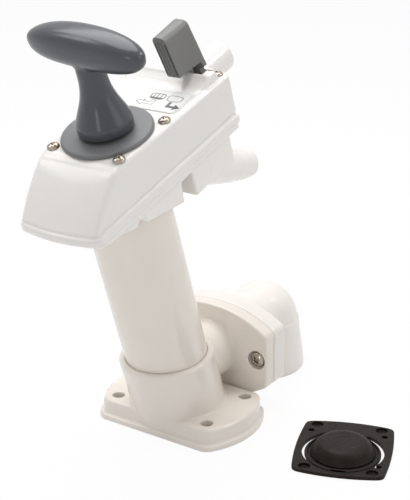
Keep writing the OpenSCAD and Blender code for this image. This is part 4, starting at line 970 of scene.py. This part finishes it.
# ---------------------------------------------------------------- the pieces inside
# The piston, its cup and nut, the rod, the flush flaps, the cam and its spindle, the seals and
# the flap's weight are plain turned or moulded parts, used as drawn with only their finish
# added. So is the film of the label.
piston_plastic = plastic("piston plastic", (0.52, 0.52, 0.50), (0.46, 0.46, 0.44), gloss=(0.3, 0.45))
label_film = plastic("label film", (0.80, 0.80, 0.79), (0.77, 0.77, 0.76), **FILM)
weight_metal = steel_finish("weight metal", (0.60, 0.46, 0.22), (0.45, 0.34, 0.16), (0.3, 0.5))
for material, names in (
    (seal_rubber, "tube_seal head_seal gland_oring rod_seal spindle_oring piston_seal"),
    (valve_rubber, "top_valve_gasket inlet_flap outlet_flap joker_valve"),
    (piston_plastic, "piston"),
    (lever_grey, "lever_cam"),
    (rod_steel, "piston_rod piston_nut lever_spindle"),
    (weight_metal, "flap_weight"),
    (label_film, "label_plate"),
):
    for name in names.split():
        nodes[name].data.materials.clear()
        nodes[name].data.materials.append(material)

# ---------------------------------------------------------------- the studio
# A pale floor that looks plain white to the camera but still takes the pump's shadow, an even
# pale sky, five softboxes, and a long-lens camera that looks down on the pump from its front.
FLOOR_HALF, FLOOR_Z = 6.0, -0.0002
FLOOR_GLOW, SKY_LIGHT = 0.93, 0.48
MIDDLE = Vector((0, 0.02, 0.15))

corners = [(FLOOR_HALF * x, FLOOR_HALF * y, FLOOR_Z) for x, y in ((-1, -1), (1, -1), (1, 1), (-1, 1))]
floor_mesh = bpy.data.meshes.new("floor")
floor_mesh.from_pydata(corners, [], [(0, 1, 2, 3)])
floor = placed("floor", floor_mesh)


def seen_ray(tree):
    """One for a ray from the camera, a reflection or through glass, and zero for the rest."""
    path = tree.nodes.new("ShaderNodeLightPath")
    seen = path.outputs["Is Camera Ray"]
    for kind in ("Is Glossy Ray", "Is Transmission Ray"):
        either = tree.nodes.new("ShaderNodeMath")
        either.operation = "MAXIMUM"
        tree.links.new(seen, either.inputs[0])
        tree.links.new(path.outputs[kind], either.inputs[1])
        seen = either.outputs[0]
    return seen


pale = bpy.data.materials.new("pale floor")
pale.use_nodes = True
tree = pale.node_tree
new, link = tree.nodes.new, tree.links.new
tree.nodes.clear()
out, mix, share = new("ShaderNodeOutputMaterial"), new("ShaderNodeMixShader"), new("ShaderNodeMath")
matt, glow = new("ShaderNodeBsdfDiffuse"), new("ShaderNodeEmission")
matt.inputs["Color"].default_value = (0.82, 0.82, 0.82, 1)
glow.inputs["Strength"].default_value = 1.0
share.operation = "MULTIPLY"
share.inputs[1].default_value = FLOOR_GLOW
link(seen_ray(tree), share.inputs[0])
link(share.outputs[0], mix.inputs[0])
link(matt.outputs[0], mix.inputs[1])
link(glow.outputs[0], mix.inputs[2])
link(mix.outputs[0], out.inputs["Surface"])
floor_mesh.materials.append(pale)

world = bpy.data.worlds.new("studio")
bpy.context.scene.world = world
world.use_nodes = True
tree = world.node_tree
new, link = tree.nodes.new, tree.links.new
tree.nodes.clear()
out, mix = new("ShaderNodeOutputWorld"), new("ShaderNodeMixShader")
lit, shown = new("ShaderNodeBackground"), new("ShaderNodeBackground")
lit.inputs["Color"].default_value = (1.0, 0.99, 0.98, 1)
lit.inputs["Strength"].default_value = SKY_LIGHT
shown.inputs["Strength"].default_value = 1.0
link(seen_ray(tree), mix.inputs[0])
link(lit.outputs[0], mix.inputs[1])
link(shown.outputs[0], mix.inputs[2])
link(mix.outputs[0], out.inputs["Surface"])


def softbox(name, place, size, power):
    """A rectangular area lamp, aimed at the pump."""
    lamp = bpy.data.lights.new(name, "AREA")
    lamp.shape = "RECTANGLE"
    lamp.size, lamp.size_y = size
    lamp.energy = power
    made = placed(name, lamp)
    made.location = place
    made.rotation_mode = "QUATERNION"
    made.rotation_quaternion = (MIDDLE - Vector(place)).to_track_quat("-Z", "Y")


softbox("overhead softbox", (-0.33, 0.2, 1.42), (1.2, 1.2), 16)
softbox("back softbox", (0.8, 0.75, 1.4), (0.5, 0.4), 4)
softbox("side softbox", (1.3, 0.1, 0.85), (0.7, 1.1), 2.2)
softbox("front softbox", (-0.95, -0.6, 1.35), (0.5, 0.5), 3)
softbox("strip softbox", (0.3, -1.3, 0.45), (0.1, 0.5), 1)

CAMERA_AT, LENS = (0.5784, -0.7938, 0.5226), 96.88
CAMERA_TURN, CAMERA_FALL, CAMERA_ROLL = (math.radians(a) for a in (34.91, 21.07, -0.55))
camera_data = bpy.data.cameras.new("camera")
camera = placed("camera", camera_data)
camera_data.sensor_fit = "VERTICAL"
camera_data.sensor_width = camera_data.sensor_height = 36
camera_data.lens = LENS
camera_data.clip_start, camera_data.clip_end = 0.05, 20
aim = Matrix.Rotation(CAMERA_TURN, 3, "Z") @ Matrix.Rotation(math.pi / 2 - CAMERA_FALL, 3, "X")
aim = aim @ Matrix.Rotation(CAMERA_ROLL, 3, "Z")
camera.matrix_world = Matrix.Translation(CAMERA_AT) @ aim.to_4x4()
bpy.context.scene.camera = camera
bpy.context.scene.view_settings.view_transform = "Standard"
